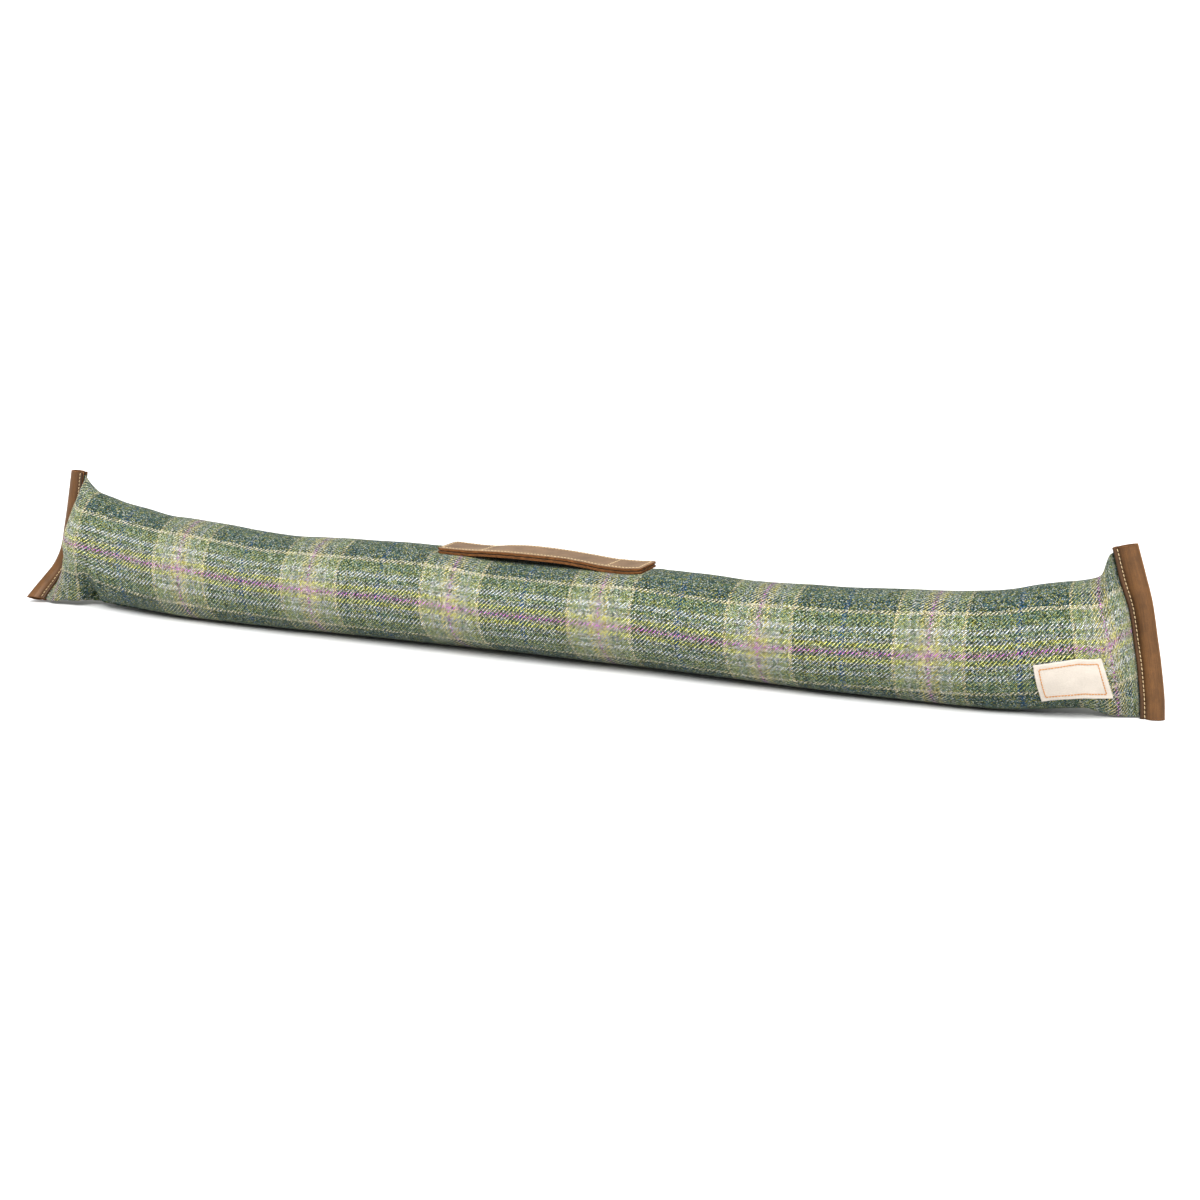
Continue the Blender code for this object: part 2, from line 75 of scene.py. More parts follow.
SECTIONS = (
    (-0.4535, 0.0120, 0.0034, 0.1140, 0.0000, 1.30, 1.20, 1.00),
    (-0.4517, 0.0100, 0.0022, 0.1138, 0.0115, 1.25, 1.15, 0.98),
    (-0.4492, 0.0076, 0.0010, 0.1134, 0.0176, 1.30, 1.18, 0.92),
    (-0.4465, 0.0058, 0.0002, 0.1122, 0.0216, 1.40, 1.22, 0.86),
    (-0.4430, 0.0044, 0.0000, 0.1082, 0.0246, 1.60, 1.28, 0.78),
    (-0.4380, 0.0032, 0.0000, 0.1040, 0.0272, 1.75, 1.35, 0.69),
    (-0.4290, 0.0022, 0.0004, 0.1008, 0.0294, 1.85, 1.50, 0.55),
    (-0.4200, 0.0016, 0.0022, 0.0990, 0.0308, 1.92, 1.65, 0.42),
    (-0.4030, 0.0008, 0.0012, 0.0956, 0.0325, 1.95, 1.85, 0.25),
    (-0.3760, 0.0000, -0.0008, 0.0914, 0.0352, 2.00, 1.95, 0.11),
    (-0.3450, -0.0008, -0.0015, 0.0862, 0.0378, 2.00, 2.00, 0.03),
    (-0.3130, -0.0016, -0.0017, 0.0849, 0.0388, 2.00, 2.00, 0.00),
    (-0.2750, -0.0024, -0.0018, 0.0825, 0.0398, 2.00, 2.00, 0.00),
    (-0.2250, -0.0034, -0.0018, 0.0804, 0.0404, 2.00, 2.00, 0.00),
    (-0.1650, -0.0042, -0.0018, 0.0824, 0.0400, 2.00, 2.00, 0.00),
    (-0.1000, -0.0044, -0.0018, 0.0835, 0.0396, 2.00, 2.00, 0.00),
    (-0.0600, -0.0042, -0.0018, 0.0812, 0.0400, 2.00, 2.00, 0.00),
    (-0.0280, -0.0040, -0.0018, 0.0770, 0.0412, 2.00, 2.00, 0.00),
    (0.0000, -0.0038, -0.0018, 0.0768, 0.0413, 2.00, 2.00, 0.00),
    (0.0300, -0.0038, -0.0018, 0.0770, 0.0413, 2.00, 2.00, 0.00),
    (0.0600, -0.0038, -0.0018, 0.0780, 0.0408, 2.00, 2.00, 0.00),
    (0.0850, -0.0038, -0.0018, 0.0794, 0.0403, 2.00, 2.00, 0.00),
    (0.1250, -0.0038, -0.0018, 0.0808, 0.0402, 2.00, 2.00, 0.00),
    (0.1900, -0.0036, -0.0018, 0.0790, 0.0404, 2.00, 2.00, 0.00),
    (0.2500, -0.0032, -0.0018, 0.0796, 0.0404, 2.00, 2.00, 0.00),
    (0.3000, -0.0024, -0.0017, 0.0824, 0.0397, 2.00, 2.00, 0.00),
    (0.3440, -0.0008, -0.0012, 0.0852, 0.0385, 2.00, 2.00, 0.02),
    (0.3850, 0.0020, 0.0004, 0.0895, 0.0364, 2.00, 1.95, 0.10),
    (0.4080, 0.0046, 0.0026, 0.0942, 0.0344, 1.95, 1.90, 0.20),
    (0.4270, 0.0074, 0.0048, 0.0974, 0.0320, 1.92, 1.80, 0.35),
    (0.4380, 0.0096, 0.0058, 0.0986, 0.0302, 1.90, 1.60, 0.47),
    (0.4450, 0.0114, 0.0030, 0.0999, 0.0286, 1.85, 1.45, 0.57),
    (0.4530, 0.0138, 0.0008, 0.1014, 0.0262, 1.80, 1.32, 0.69),
    (0.4590, 0.0157, 0.0004, 0.1037, 0.0230, 1.65, 1.25, 0.80),
    (0.4625, 0.0171, 0.0004, 0.1118, 0.0196, 1.45, 1.20, 0.88),
    (0.4655, 0.0183, 0.0004, 0.1176, 0.0158, 1.30, 1.16, 0.94),
    (0.4680, 0.0193, 0.0004, 0.1188, 0.0105, 1.25, 1.15, 0.98),
    (0.4698, 0.0200, 0.0004, 0.1193, 0.0000, 1.30, 1.20, 1.00),
)
HANDLE_COLUMNS = ("x", "front", "back")
HANDLE_LINE = (
    (-0.0777, 0.0793, 0.0792),
    (-0.0650, 0.0791, 0.0788),
    (-0.0520, 0.0792, 0.0785),
    (-0.0400, 0.0797, 0.0788),
    (-0.0230, 0.0803, 0.0807),
    (-0.0060, 0.0805, 0.0814),
    (0.0130, 0.0804, 0.0810),
    (0.0310, 0.0801, 0.0801),
    (0.0500, 0.0788, 0.0786),
    (0.0680, 0.0770, 0.0773),
    (0.0840, 0.0766, 0.0773),
    (0.1002, 0.0777, 0.0781),
)
DENT_SLOPE = 0.22
DENT_REACH = 0.0180
DENT_FLAT = 0.0060


def column(table, columns, name):
    return [row[columns.index(name)] for row in table]


def smooth(places, values, place):
    """Value on the curve through the values, which never overshoots them."""
    last = len(places) - 1
    if place <= places[0]:
        return values[0]
    if place >= places[last]:
        return values[last]
    right = next(i for i in range(1, last + 1) if place <= places[i])
    left = right - 1
    slopes = []
    for i in (left, right):
        if i in (0, last):
            slopes.append(0.0)
            continue
        before = (values[i] - values[i - 1]) / (places[i] - places[i - 1])
        after = (values[i + 1] - values[i]) / (places[i + 1] - places[i])
        slopes.append(2 * before * after / (before + after) if before * after > 0 else 0.0)
    width = places[right] - places[left]
    t = (place - places[left]) / width
    bend = width * (t * (1 - t) ** 2 * slopes[0] - t * t * (1 - t) * slopes[1])
    return values[left] + (values[right] - values[left]) * t * t * (3 - 2 * t) + bend


def rounded(values, place):
    """Value on the rounded curve through evenly placed values, place 0 to 1."""
    last = len(values) - 1
    position = min(max(place * last, 0.0), last - 1e-9)
    i = int(position)
    t = position - i
    p1, p2 = values[i], values[i + 1]
    p0 = values[i - 1] if i > 0 else 2 * p1 - p2
    p3 = values[i + 2] if i + 2 <= last else 2 * p2 - p1
    square = 2 * p0 - 5 * p1 + 4 * p2 - p3
    cube = 3 * p1 - p0 - 3 * p2 + p3
    return (2 * p1 + (p2 - p0) * t + square * t * t + cube * t ** 3) / 2


class Seam:
    """An end seam as sampled lines: free edge, direction across to the fold, facing to the front."""

    STEPS = 400
    # Samples each way over which the direction down is measured
    SPREAD = 8

    def __init__(self, table):
        self.shares = np.linspace(0, 1, self.STEPS + 1)
        lines = [column(table, SEAM_COLUMNS, name) for name in SEAM_COLUMNS]
        data = np.array([[rounded(line, share) for line in lines] for share in self.shares])
        self.edge = data[:, :3]
        self.fold = data[:, 3:]
        self.width = np.linalg.norm(self.fold - self.edge, axis=1)
        self.across = (self.fold - self.edge) / self.width[:, None]
        ahead = np.clip(np.arange(self.STEPS + 1) + self.SPREAD, 0, self.STEPS)
        behind = np.clip(np.arange(self.STEPS + 1) - self.SPREAD, 0, self.STEPS)
        down = self.edge[ahead] - self.edge[behind]
        self.down = down / np.linalg.norm(down, axis=1)[:, None]
        facing = np.cross(self.down, self.across)
        facing /= np.linalg.norm(facing, axis=1)[:, None]
        self.facing = facing * np.where(facing[:, 1:2] > 0, -1, 1)
        self.top = self.edge[0, 2] - SEAM_SHORT_AT_TOP
        self.foot = self.edge[-1, 2] + SEAM_SHORT_AT_FOOT
        step = np.linalg.norm(np.diff(self.edge, axis=0), axis=1)
        self.length = np.concatenate([[0], np.cumsum(step)])

    def at(self, share, what):
        data = getattr(self, what)
        share = np.asarray(share, float)
        if data.ndim == 1:
            return np.interp(share, self.shares, data)
        return np.stack([np.interp(share, self.shares, data[:, k]) for k in range(3)], axis=-1)

    def share_of_rise(self, rise):
        height = self.foot + (self.top - self.foot) * (np.asarray(rise) + 1) / 2
        return np.interp(-height, -self.edge[:, 2], self.shares)


SEAMS = {"left": Seam(LEFT_SEAM), "right": Seam(RIGHT_SEAM)}
PLACES = column(SECTIONS, SECTION_COLUMNS, "x")
SECTION_VALUES = {name: column(SECTIONS, SECTION_COLUMNS, name) for name in SECTION_COLUMNS}
HANDLE_PLACES = column(HANDLE_LINE, HANDLE_COLUMNS, "x")


# The visible cloth is less full under its middle than its solid
LOWER_SHARE = 0.90
# Midway along the tube its foot lies further back than its middle
UNDER_SHIFT = 0.012
UNDER_REACH = 0.38


def section_at(x):
    found = {name: smooth(PLACES, SECTION_VALUES[name], x) for name in SECTION_COLUMNS[1:]}
    found["foot"] = max(found["foot"], 0.0)
    found["lower"] *= LOWER_SHARE + (1 - LOWER_SHARE) * found["lean"]
    return found


def handle_underside(x, y):
    front = smooth(HANDLE_PLACES, column(HANDLE_LINE, HANDLE_COLUMNS, "front"), x)
    back = smooth(HANDLE_PLACES, column(HANDLE_LINE, HANDLE_COLUMNS, "back"), x)
    return front + (back - front) * np.clip(np.asarray(y) / HANDLE_WIDTH + 0.5, 0, 1)


def body_ring(x, angles):
    """Points on the tube's skin at one place. Angle 0 is the back, and a quarter turn the top."""
    s = section_at(x)
    rise, side = np.sin(angles), np.cos(angles)
    fullness = np.where(rise > 0, s["upper"], s["lower"])
    bulge = np.maximum(1 - np.abs(rise) ** fullness, 0) ** (1 / fullness)
    half = s["half_width"] * bulge + CLOTH_HALF * np.sqrt(np.abs(side))
    seam = SEAMS["left" if x < 0 else "right"]
    lean = s["lean"]
    middle_height = (s["top"] + s["foot"]) / 2
    half_height = (s["top"] - s["foot"]) / 2
    points = np.empty((len(rise), 3))
    points[:, 0], points[:, 1], points[:, 2] = x, s["y"], middle_height + half_height * rise
    outward = np.zeros_like(points)
    outward[:, 1] = 1
    if lean > 0:
        share = seam.share_of_rise(rise)
        edge, facing = seam.at(share, "edge"), seam.at(share, "facing")
        middle = seam.at(seam.share_of_rise(0.0), "edge")
        points[:, 0] += lean * (edge[:, 0] - middle[0])
        points[:, 1] += lean * (edge[:, 1] - middle[1])
        outward = outward * (1 - lean) - facing * lean
        outward /= np.linalg.norm(outward, axis=1)[:, None]
    points += outward * (np.copysign(1, side) * half)[:, None]
    low = np.clip(1 - points[:, 2] / middle_height, 0, 1)
    midway = math.cos(math.pi / 2 * min(abs(x) / UNDER_REACH, 1.0)) ** 2
    points[:, 1] += UNDER_SHIFT * midway * low ** 1.5
    past_end = np.maximum(HANDLE_PLACES[0] - points[:, 0], points[:, 0] - HANDLE_PLACES[-1])
    past_side = np.abs(points[:, 1]) - HANDLE_WIDTH / 2
    dented = (rise > 0) & (np.maximum(past_end, past_side) < DENT_REACH)
    if dented.any():
        rising = DENT_SLOPE * np.maximum(np.maximum(past_end - GAP, past_side - DENT_FLAT), 0)
        limit = handle_underside(x, points[:, 1]) - GAP + rising
        points[:, 2] = np.where(dented, np.minimum(points[:, 2], limit), points[:, 2])
    points[:, 2] = np.maximum(points[:, 2], 0)
    return points


def tongue_ring(seam, angles, reach):
    """Flat seam section inside a strip."""
    share = seam.share_of_rise(np.sin(angles))
    half = CLOTH_HALF * np.sqrt(np.abs(np.cos(angles)))
    points = seam.at(share, "edge") + seam.at(share, "across") * reach
    points -= seam.at(share, "facing") * (np.copysign(1, np.cos(angles)) * half)[:, None]
    points[:, 2] = np.maximum(points[:, 2], 0)
    return points


# Material helpers
def srgb(r, g, b):
    """Linear colour of a colour on the 0 to 255 screen scale."""
    out = []
    for c in (r, g, b):
        c = c / 255
        out.append(c / 12.92 if c <= 0.04045 else ((c + 0.055) / 1.055) ** 2.4)
    return (*out, 1.0)


def grey(value):
    return (value, value, value, 1)


class Nodes:
    """Short ways to add shader nodes."""

    def __init__(self, name):
        self.material = bpy.data.materials.new(name)
        self.material.use_nodes = True
        self.tree = self.material.node_tree
        self.tree.nodes.clear()
        self.output = self.tree.nodes.new("ShaderNodeOutputMaterial")

    def put(self, socket, value):
        if isinstance(value, bpy.types.NodeSocket):
            self.tree.links.new(value, socket)
        elif value is not None:
            socket.default_value = value

    def add(self, kind, settings=None, **inputs):
        made = self.tree.nodes.new(kind)
        for key, value in (settings or {}).items():
            setattr(made, key, value)
        for key, value in inputs.items():
            self.put(made.inputs[key.replace("_", " ")], value)
        return made

    def math(self, operation, a, b=None, c=None, clamp=False):
        made = self.tree.nodes.new("ShaderNodeMath")
        made.operation = operation
        made.use_clamp = clamp
        for socket, value in zip(made.inputs, (a, b, c)):
            self.put(socket, value)
        return made.outputs[0]

    def vector(self, x, y, z):
        return self.add("ShaderNodeCombineXYZ", X=x, Y=y, Z=z).outputs[0]

    def times(self, a, b):
        return self.math("MULTIPLY", a, b)

    def map(self, name):
        return self.add("ShaderNodeUVMap", {"uv_map": name}).outputs[0]

    def place(self):
        return self.add("ShaderNodeTexCoord").outputs["Object"]

    def noise(self, vector, scale, detail, rough, out="Fac"):
        made = self.add("ShaderNodeTexNoise", Vector=vector, Scale=scale, Detail=detail, Roughness=rough)
        return made.outputs[out]

    def ramp(self, fac, stops, interpolation="LINEAR"):
        made = self.tree.nodes.new("ShaderNodeValToRGB")
        made.color_ramp.interpolation = interpolation
        elements = made.color_ramp.elements
        while len(elements) > 1:
            elements.remove(elements[-1])
        for i, (place, colour) in enumerate(stops):
            element = elements[0] if i == 0 else elements.new(place)
            element.position = place
            element.color = colour
        self.put(made.inputs[0], fac)
        return made.outputs[0]

    def mix(self, fac, a, b, blend="MIX"):
        made = self.tree.nodes.new("ShaderNodeMix")
        made.data_type = "RGBA"
        made.blend_type = blend
        made.clamp_factor = True
        self.put(made.inputs["Factor"], fac)
        self.put(made.inputs[6], a)
        self.put(made.inputs[7], b)
        return made.outputs[2]

    def shaded(self, colour, tone):
        """Colour made lighter or darker."""
        return self.mix(1.0, colour, self.vector(tone, tone, tone), "MULTIPLY")

    def span(self, value, low, high, to_low=0.0, to_high=1.0):
        made = self.add("ShaderNodeMapRange", {"clamp": True})
        for socket, v in zip(made.inputs, (value, low, high, to_low, to_high)):
            self.put(socket, v)
        return made.outputs[0]

    def bump(self, height, distance, strength=1.0, normal=None):
        made = self.add("ShaderNodeBump", Strength=strength, Distance=distance, Height=height, Normal=normal)
        return made.outputs[0]

    def finish(
        self, colour, roughness, normal=None, sheen=0.0, sheen_rough=0.5, tint=(1, 1, 1, 1), specular=0.5
    ):
        shader = self.tree.nodes.new("ShaderNodeBsdfPrincipled")
        self.put(shader.inputs["Base Color"], colour)
        self.put(shader.inputs["Roughness"], roughness)
        self.put(shader.inputs["Normal"], normal)
        shader.inputs["Sheen Weight"].default_value = sheen
        shader.inputs["Sheen Roughness"].default_value = sheen_rough
        shader.inputs["Sheen Tint"].default_value = tint
        shader.inputs["Specular IOR Level"].default_value = specular
        self.tree.links.new(shader.outputs[0], self.output.inputs[0])
        return self.material


# Cloth
THREAD_CONTRAST = 1.12
THREAD_MIDDLE = 0.25


def thread(r, g, b):
    """Colour of a single thread: further from the middle tone than the woven mixture that the eye sees."""
    mixed = srgb(r, g, b)[:3]
    return (*(THREAD_MIDDLE * (c / THREAD_MIDDLE) ** THREAD_CONTRAST for c in mixed), 1.0)


CLOTH_TONE = 0.64
CHECK_REPEAT = 0.13
CHECK_CENTRE = 0.0757
ROUND_REPEAT = GIRTH / 2
THREADS_IN_CHECK = 152
THREADS_IN_GIRTH = 296
PITCH_ALONG = CHECK_REPEAT / THREADS_IN_CHECK
PITCH_ROUND = GIRTH / THREADS_IN_GIRTH
# Woven check, as the threads look in the studio light. Each row is a distance in mm from the purple stripe
# to both of its sides, and the screen colour of the threads from there on.
THREADS_ROUND = (
    (0.0, 196, 116, 190),
    (0.5, 186, 164, 166),
    (2.4, 192, 184, 154),
    (4.4, 192, 182, 124),
    (7.0, 180, 178, 158),
    (9.5, 142, 150, 126),
    (14.4, 176, 176, 168),
    (16.8, 148, 156, 112),
    (24.2, 200, 188, 152),
    (26.6, 72, 90, 62),
    (34.6, 40, 62, 46),
    (36.8, 86, 104, 76),
    (44.4, 44, 68, 50),
    (46.6, 78, 96, 74),
    (54.0, 64, 86, 66),
    (57.0, 76, 96, 70),
    (62.9, 26, 76, 112),
)
THREADS_ALONG = (
    (0.0, 198, 132, 194),
    (1.0, 188, 152, 176),
    (1.8, 188, 172, 168),
    (3.2, 166, 166, 140),
    (4.4, 202, 202, 126),
    (7.6, 194, 192, 188),
    (9.5, 146, 152, 156),
    (10.8, 196, 198, 190),
    (12.0, 138, 152, 122),
    (15.4, 192, 196, 196),
    (19.4, 138, 150, 120),
    (21.8, 150, 160, 112),
    (23.6, 120, 138, 107),
    (30.7, 206, 198, 174),
    (33.8, 44, 72, 70),
    (38.4, 70, 96, 103),
    (40.8, 46, 74, 75),
    (44.8, 73, 99, 96),
    (48.6, 82, 103, 77),
    (52.0, 56, 81, 71),
    (56.0, 72, 95, 83),
    (60.0, 47, 74, 83),
)
FLECK_BLUE = srgb(52, 88, 122)
FLECK_GOLD = srgb(206, 196, 96)
FLECK_PALE = srgb(222, 224, 218)
FLECK_DARK = srgb(40, 58, 44)


# How finely and how far the fibres and threads wander: features in a metre, reach in metres
FIBRE_WANDER = (640.0, 0.0006)
THREAD_SWAY = (45.0, 0.0016)
NAP_SCALE = 1250.0
FELT_SCALE = 520.0
# Shade of the darkest and of the lightest crossing
CROSSING_LIGHT = (0.14, 1.88)
# Share of each four threads where the thread round the tube lies on top
ROUND_SHARE = 0.49


def cloth_material():
    """Brushed wool twill in a check, from the cloth map: metres along the tube and round it."""
    n = Nodes("wool_tweed")
    cloth = n.map("cloth")

    def shifted(place, scale, reach):
        """Place moved a little by noise."""
        made = n.add("ShaderNodeVectorMath", {"operation": "MULTIPLY_ADD"})
        n.put(made.inputs[0], n.noise(cloth, scale, 2.0, 0.6, "Color"))
        n.put(made.inputs[1], (reach, reach, 0.0))
        n.put(made.inputs[2], place)
        return made.outputs[0]

    moved = shifted(shifted(cloth, *FIBRE_WANDER), *THREAD_SWAY)
    split = n.add("ShaderNodeSeparateXYZ", Vector=moved)
    u_thread = n.math("DIVIDE", split.outputs[0], PITCH_ALONG)
    v_thread = n.math("DIVIDE", split.outputs[1], PITCH_ROUND)
    u_index, v_index = n.math("FLOOR", u_thread), n.math("FLOOR", v_thread)

    def stripes(index, pitch, centre, repeat, threads):
        """Colour of the thread with this index."""
        place = n.times(n.math("ADD", index, 0.5), pitch)
        away = n.math("PINGPONG", n.math("SUBTRACT", place, centre), repeat / 2)
        stops = [(mm * 0.001 / (repeat / 2), thread(*screen)) for mm, *screen in threads]
        return n.ramp(n.math("DIVIDE", away, repeat / 2), stops, "CONSTANT")

    round_threads = stripes(u_index, PITCH_ALONG, CHECK_CENTRE, CHECK_REPEAT, THREADS_ROUND)
    long_threads = stripes(v_index, PITCH_ROUND, 0.0, ROUND_REPEAT, THREADS_ALONG)
    diagonal = n.times(n.math("SUBTRACT", u_index, v_index), 0.25)
    round_over = n.math("LESS_THAN", n.math("FRACT", diagonal), ROUND_SHARE)

    def heather(colour, seed):
        """Each crossing has its own shade, and some fibres are spun from other colours."""
        dice = n.add("ShaderNodeTexWhiteNoise", Vector=n.vector(u_index, v_index, seed))
        odds = n.add("ShaderNodeSeparateColor", Color=dice.outputs["Color"])
        colour = n.shaded(colour, n.span(dice.outputs["Value"], 0.0, 1.0, *CROSSING_LIGHT))
        colour = n.mix(n.span(odds.outputs[0], 0.62, 0.95, 0.0, 0.70), colour, FLECK_BLUE)
        colour = n.mix(n.span(odds.outputs[1], 0.72, 0.96, 0.0, 0.55), colour, FLECK_GOLD)
        colour = n.mix(n.span(odds.outputs[2], 0.80, 0.97, 0.0, 0.55), colour, FLECK_PALE)
        return n.mix(n.span(odds.outputs[2], 0.22, 0.04, 0.0, 0.60), colour, FLECK_DARK)

    # The nap softens the single crossings into diagonals
    slant = n.times(n.math("SUBTRACT", u_thread, v_thread), 0.25)
    wave = n.math("ABSOLUTE", n.math("SUBTRACT", n.math("FRACT", n.math("SUBTRACT", slant, 0.25)), 0.5))
    soft_over = n.span(wave, 0.19, 0.31)
    over = n.math("ADD", n.times(round_over, 0.4), n.times(soft_over, 0.6), clamp=True)
    colour = n.mix(over, heather(long_threads, 7.5), heather(round_threads, 3.5))

    # Painted shade in the grooves between the diagonals and painted highlights on their ridges, and a
    # speckled nap painted as fibre highlights and shade
    ridge = n.math("ABSOLUTE", n.math("SUBTRACT", n.times(wave, 2.0), 0.5))
    groove_shade = n.span(ridge, 0.02, 0.34, 0.14, 1.30)
    nap = n.noise(cloth, NAP_SCALE, 3.0, 0.7)
    felt = n.noise(cloth, FELT_SCALE, 2.0, 0.6)
    # The groove tone is painted shade and highlight, and the nap tone is painted fibre highlights and shade
    shade = n.times(groove_shade, n.span(nap, 0.3, 0.7, 0.30, 1.85))
    shade = n.times(shade, n.span(felt, 0.3, 0.7, 0.86, 1.16))
    colour = n.shaded(colour, n.times(shade, CLOTH_TONE))

    height = n.math("ADD", n.times(ridge, 1.3), n.times(nap, 0.6))
    normal = n.bump(height, 0.00045, 0.8)
    normal = n.bump(n.noise(cloth, 170.0, 2.0, 0.5), 0.0012, 0.35, normal)
    return n.finish(colour, 0.95, normal, sheen=0.10, tint=(0.92, 1.0, 0.94, 1), specular=0.12)


# Meshes
def new_object(name, vertices, faces, material, uvs=None, uv_name="cloth"):
    mesh = bpy.data.meshes.new(name)
    mesh.from_pydata([tuple(map(float, p)) for p in vertices], [], faces)
    if uvs is not None:
        layer = mesh.uv_layers.new(name=uv_name)
        layer.data.foreach_set("uv", [c for face in uvs for corner in face for c in corner])
    mesh.shade_smooth()
    mesh.materials.append(material)
    made = bpy.data.objects.new(name, mesh)
    bpy.context.scene.collection.objects.link(made)
    return made


def outward_normals(obj):
    shape = bmesh.new()
    shape.from_mesh(obj.data)
    bmesh.ops.recalc_face_normals(shape, faces=shape.faces)
    shape.to_mesh(obj.data)
    shape.free()


# Tube
BODY_GIRTH_POINTS = 72
# Rings lie closer together near the seams
RING_STEP_AT_SEAM = 0.0007
RING_STEP_GROWTH = 0.0043
RING_STEP_REACH = 0.05
TONGUE_PARTING = 0.0005
# Height of the purple stripe over the tube's front-most line
PURPLE_PLACES = (-0.450, -0.380, -0.313, -0.181, -0.050, 0.000, 0.080, 0.155, 0.208, 0.337, 0.458)
PURPLE_RISE = (0.0090, 0.0110, 0.0099, 0.0052, 0.0044, 0.0048, 0.0032, 0.0003, -0.0006, 0.0029, 0.0050)
# The bands round the tube bow to the left in front
BAND_BOW = 0.0032
LEFT_PULL = 0.014
LEFT_PULL_START = -0.380
LEFT_PULL_REACH = 0.050
# Soft lumps everywhere, and gathers near both seams
LUMP_HEIGHT = 0.0011
FINE_LUMP_HEIGHT = 0.0005
GATHER_COUNT = 13
GATHER_HEIGHT = 0.0007
GATHER_REACH = 0.030
# Near these the cloth lies still
CALM_OVER_FLOOR = 0.006
CALM_AT_SEAM = 0.012
CALM_PAST_HANDLE = 0.010
CALM_UNDER_HANDLE = 0.068
# Fold of the cloth in front, between the left strip's foot and the belly of the tube
EAR_FOLD_X = -0.4285
EAR_FOLD_SLOPE = 0.28
EAR_FOLD_WIDTH = 0.0060
EAR_FOLD_HEIGHT = 0.036
EAR_FOLD_DEPTH = 0.0095
# Left of it and just right of it the foot is drawn in
TUCK_DEPTH = 0.0045
TUCK_HEIGHT = 0.030
TUCK_END = -0.330
TUCK_FADE = 0.070


def body_places():
    start, stop = PLACES[0], PLACES[-1]
    places = [start]
    while places[-1] < stop:
        x = places[-1]
        near = min(x - start, stop - x)
        places.append(x + RING_STEP_AT_SEAM + RING_STEP_GROWTH * min(near / RING_STEP_REACH, 1.0))
    places[-1] = stop
    return places


def crumple(points, x, angles):
    """Lumps, gathers, fold and tuck: movement of each point along its way out from the tube's middle line."""
    centre = points.mean(axis=0)
    out = points - centre
    out /= np.linalg.norm(out, axis=1)[:, None]
    from_left, from_right = x - PLACES[0], PLACES[-1] - x
    near_seam = math.exp(-max(from_left, 0) / GATHER_REACH) + math.exp(-max(from_right, 0) / GATHER_REACH)
    gathered = near_seam * np.abs(np.cos(angles)) ** 0.5
    move = np.zeros(len(points))
    for i, point in enumerate(points):
        place = Vector((x * 14.0, point[1] * 22.0, point[2] * 22.0))
        wander = noise.noise(Vector((angles[i] / (2 * math.pi) * 9, x * 5, 0.3)))
        move[i] = LUMP_HEIGHT * noise.noise(place) + FINE_LUMP_HEIGHT * noise.noise(place * 3.1)
        move[i] += GATHER_HEIGHT * gathered[i] * math.sin(angles[i] * GATHER_COUNT + 2.0 * wander)
    height = points[:, 2]
    seam = min(1.0, from_left / CALM_AT_SEAM, from_right / CALM_AT_SEAM)
    move *= np.clip(height / CALM_OVER_FLOOR, 0, 1) * seam
    if HANDLE_PLACES[0] - CALM_PAST_HANDLE < x < HANDLE_PLACES[-1] + CALM_PAST_HANDLE:
        move[height > CALM_UNDER_HANDLE] = 0
    from_valley = points[:, 0] - EAR_FOLD_X - EAR_FOLD_SLOPE * height
    fold = EAR_FOLD_DEPTH * np.exp(-((from_valley / EAR_FOLD_WIDTH) ** 2))
    fold *= np.clip(1 - height / EAR_FOLD_HEIGHT, 0, 1) ** 0.6
    tuck = TUCK_DEPTH * np.clip(1 - height / TUCK_HEIGHT, 0, 1)
    tuck *= np.clip((TUCK_END - points[:, 0]) / TUCK_FADE, 0, 1)
    in_front = points[:, 1] < centre[1]
    return out * (move - (fold + tuck) * in_front * seam)[:, None]


def cloth_along(rings, places):
    """Metres along the cloth at each ring, measured on the tube's front-most line."""
    front = [ring[BODY_GIRTH_POINTS // 2] for ring in rings]
    length = [0.0]
    for before, after in zip(front, front[1:]):
        length.append(length[-1] + float(np.linalg.norm(after - before)))
    zero = float(np.interp(0.0, places, length))
    pull = np.clip((LEFT_PULL_START - np.array(places)) / LEFT_PULL_REACH, 0, 1)
    return [value - zero + LEFT_PULL * share for value, share in zip(length, pull)]


def cloth_round(ring, x):
    """Metres round the cloth at each point of a ring, up positive, and how far the bands bow there."""
    quarter, points = GIRTH / 4, BODY_GIRTH_POINTS // 4
    loop = np.concatenate([ring, ring[:1]])
    walked = np.concatenate([[0], np.cumsum(np.linalg.norm(np.diff(loop, axis=0), axis=1))])
    metres = np.zeros(len(loop))
    for k in range(4):
        part = slice(k * points, (k + 1) * points + 1)
        first, last = walked[part][0], walked[part][-1]
        share = (walked[part] - first) / max(last - first, 1e-9)
        metres[part] = (2 - k - share) * quarter
    bow = BAND_BOW * np.maximum(1 - np.abs(metres) / quarter, 0)
    rise = np.interp(x, PURPLE_PLACES, PURPLE_RISE)
    return metres - rise * (1 - np.abs(metres) / (GIRTH / 2)), bow


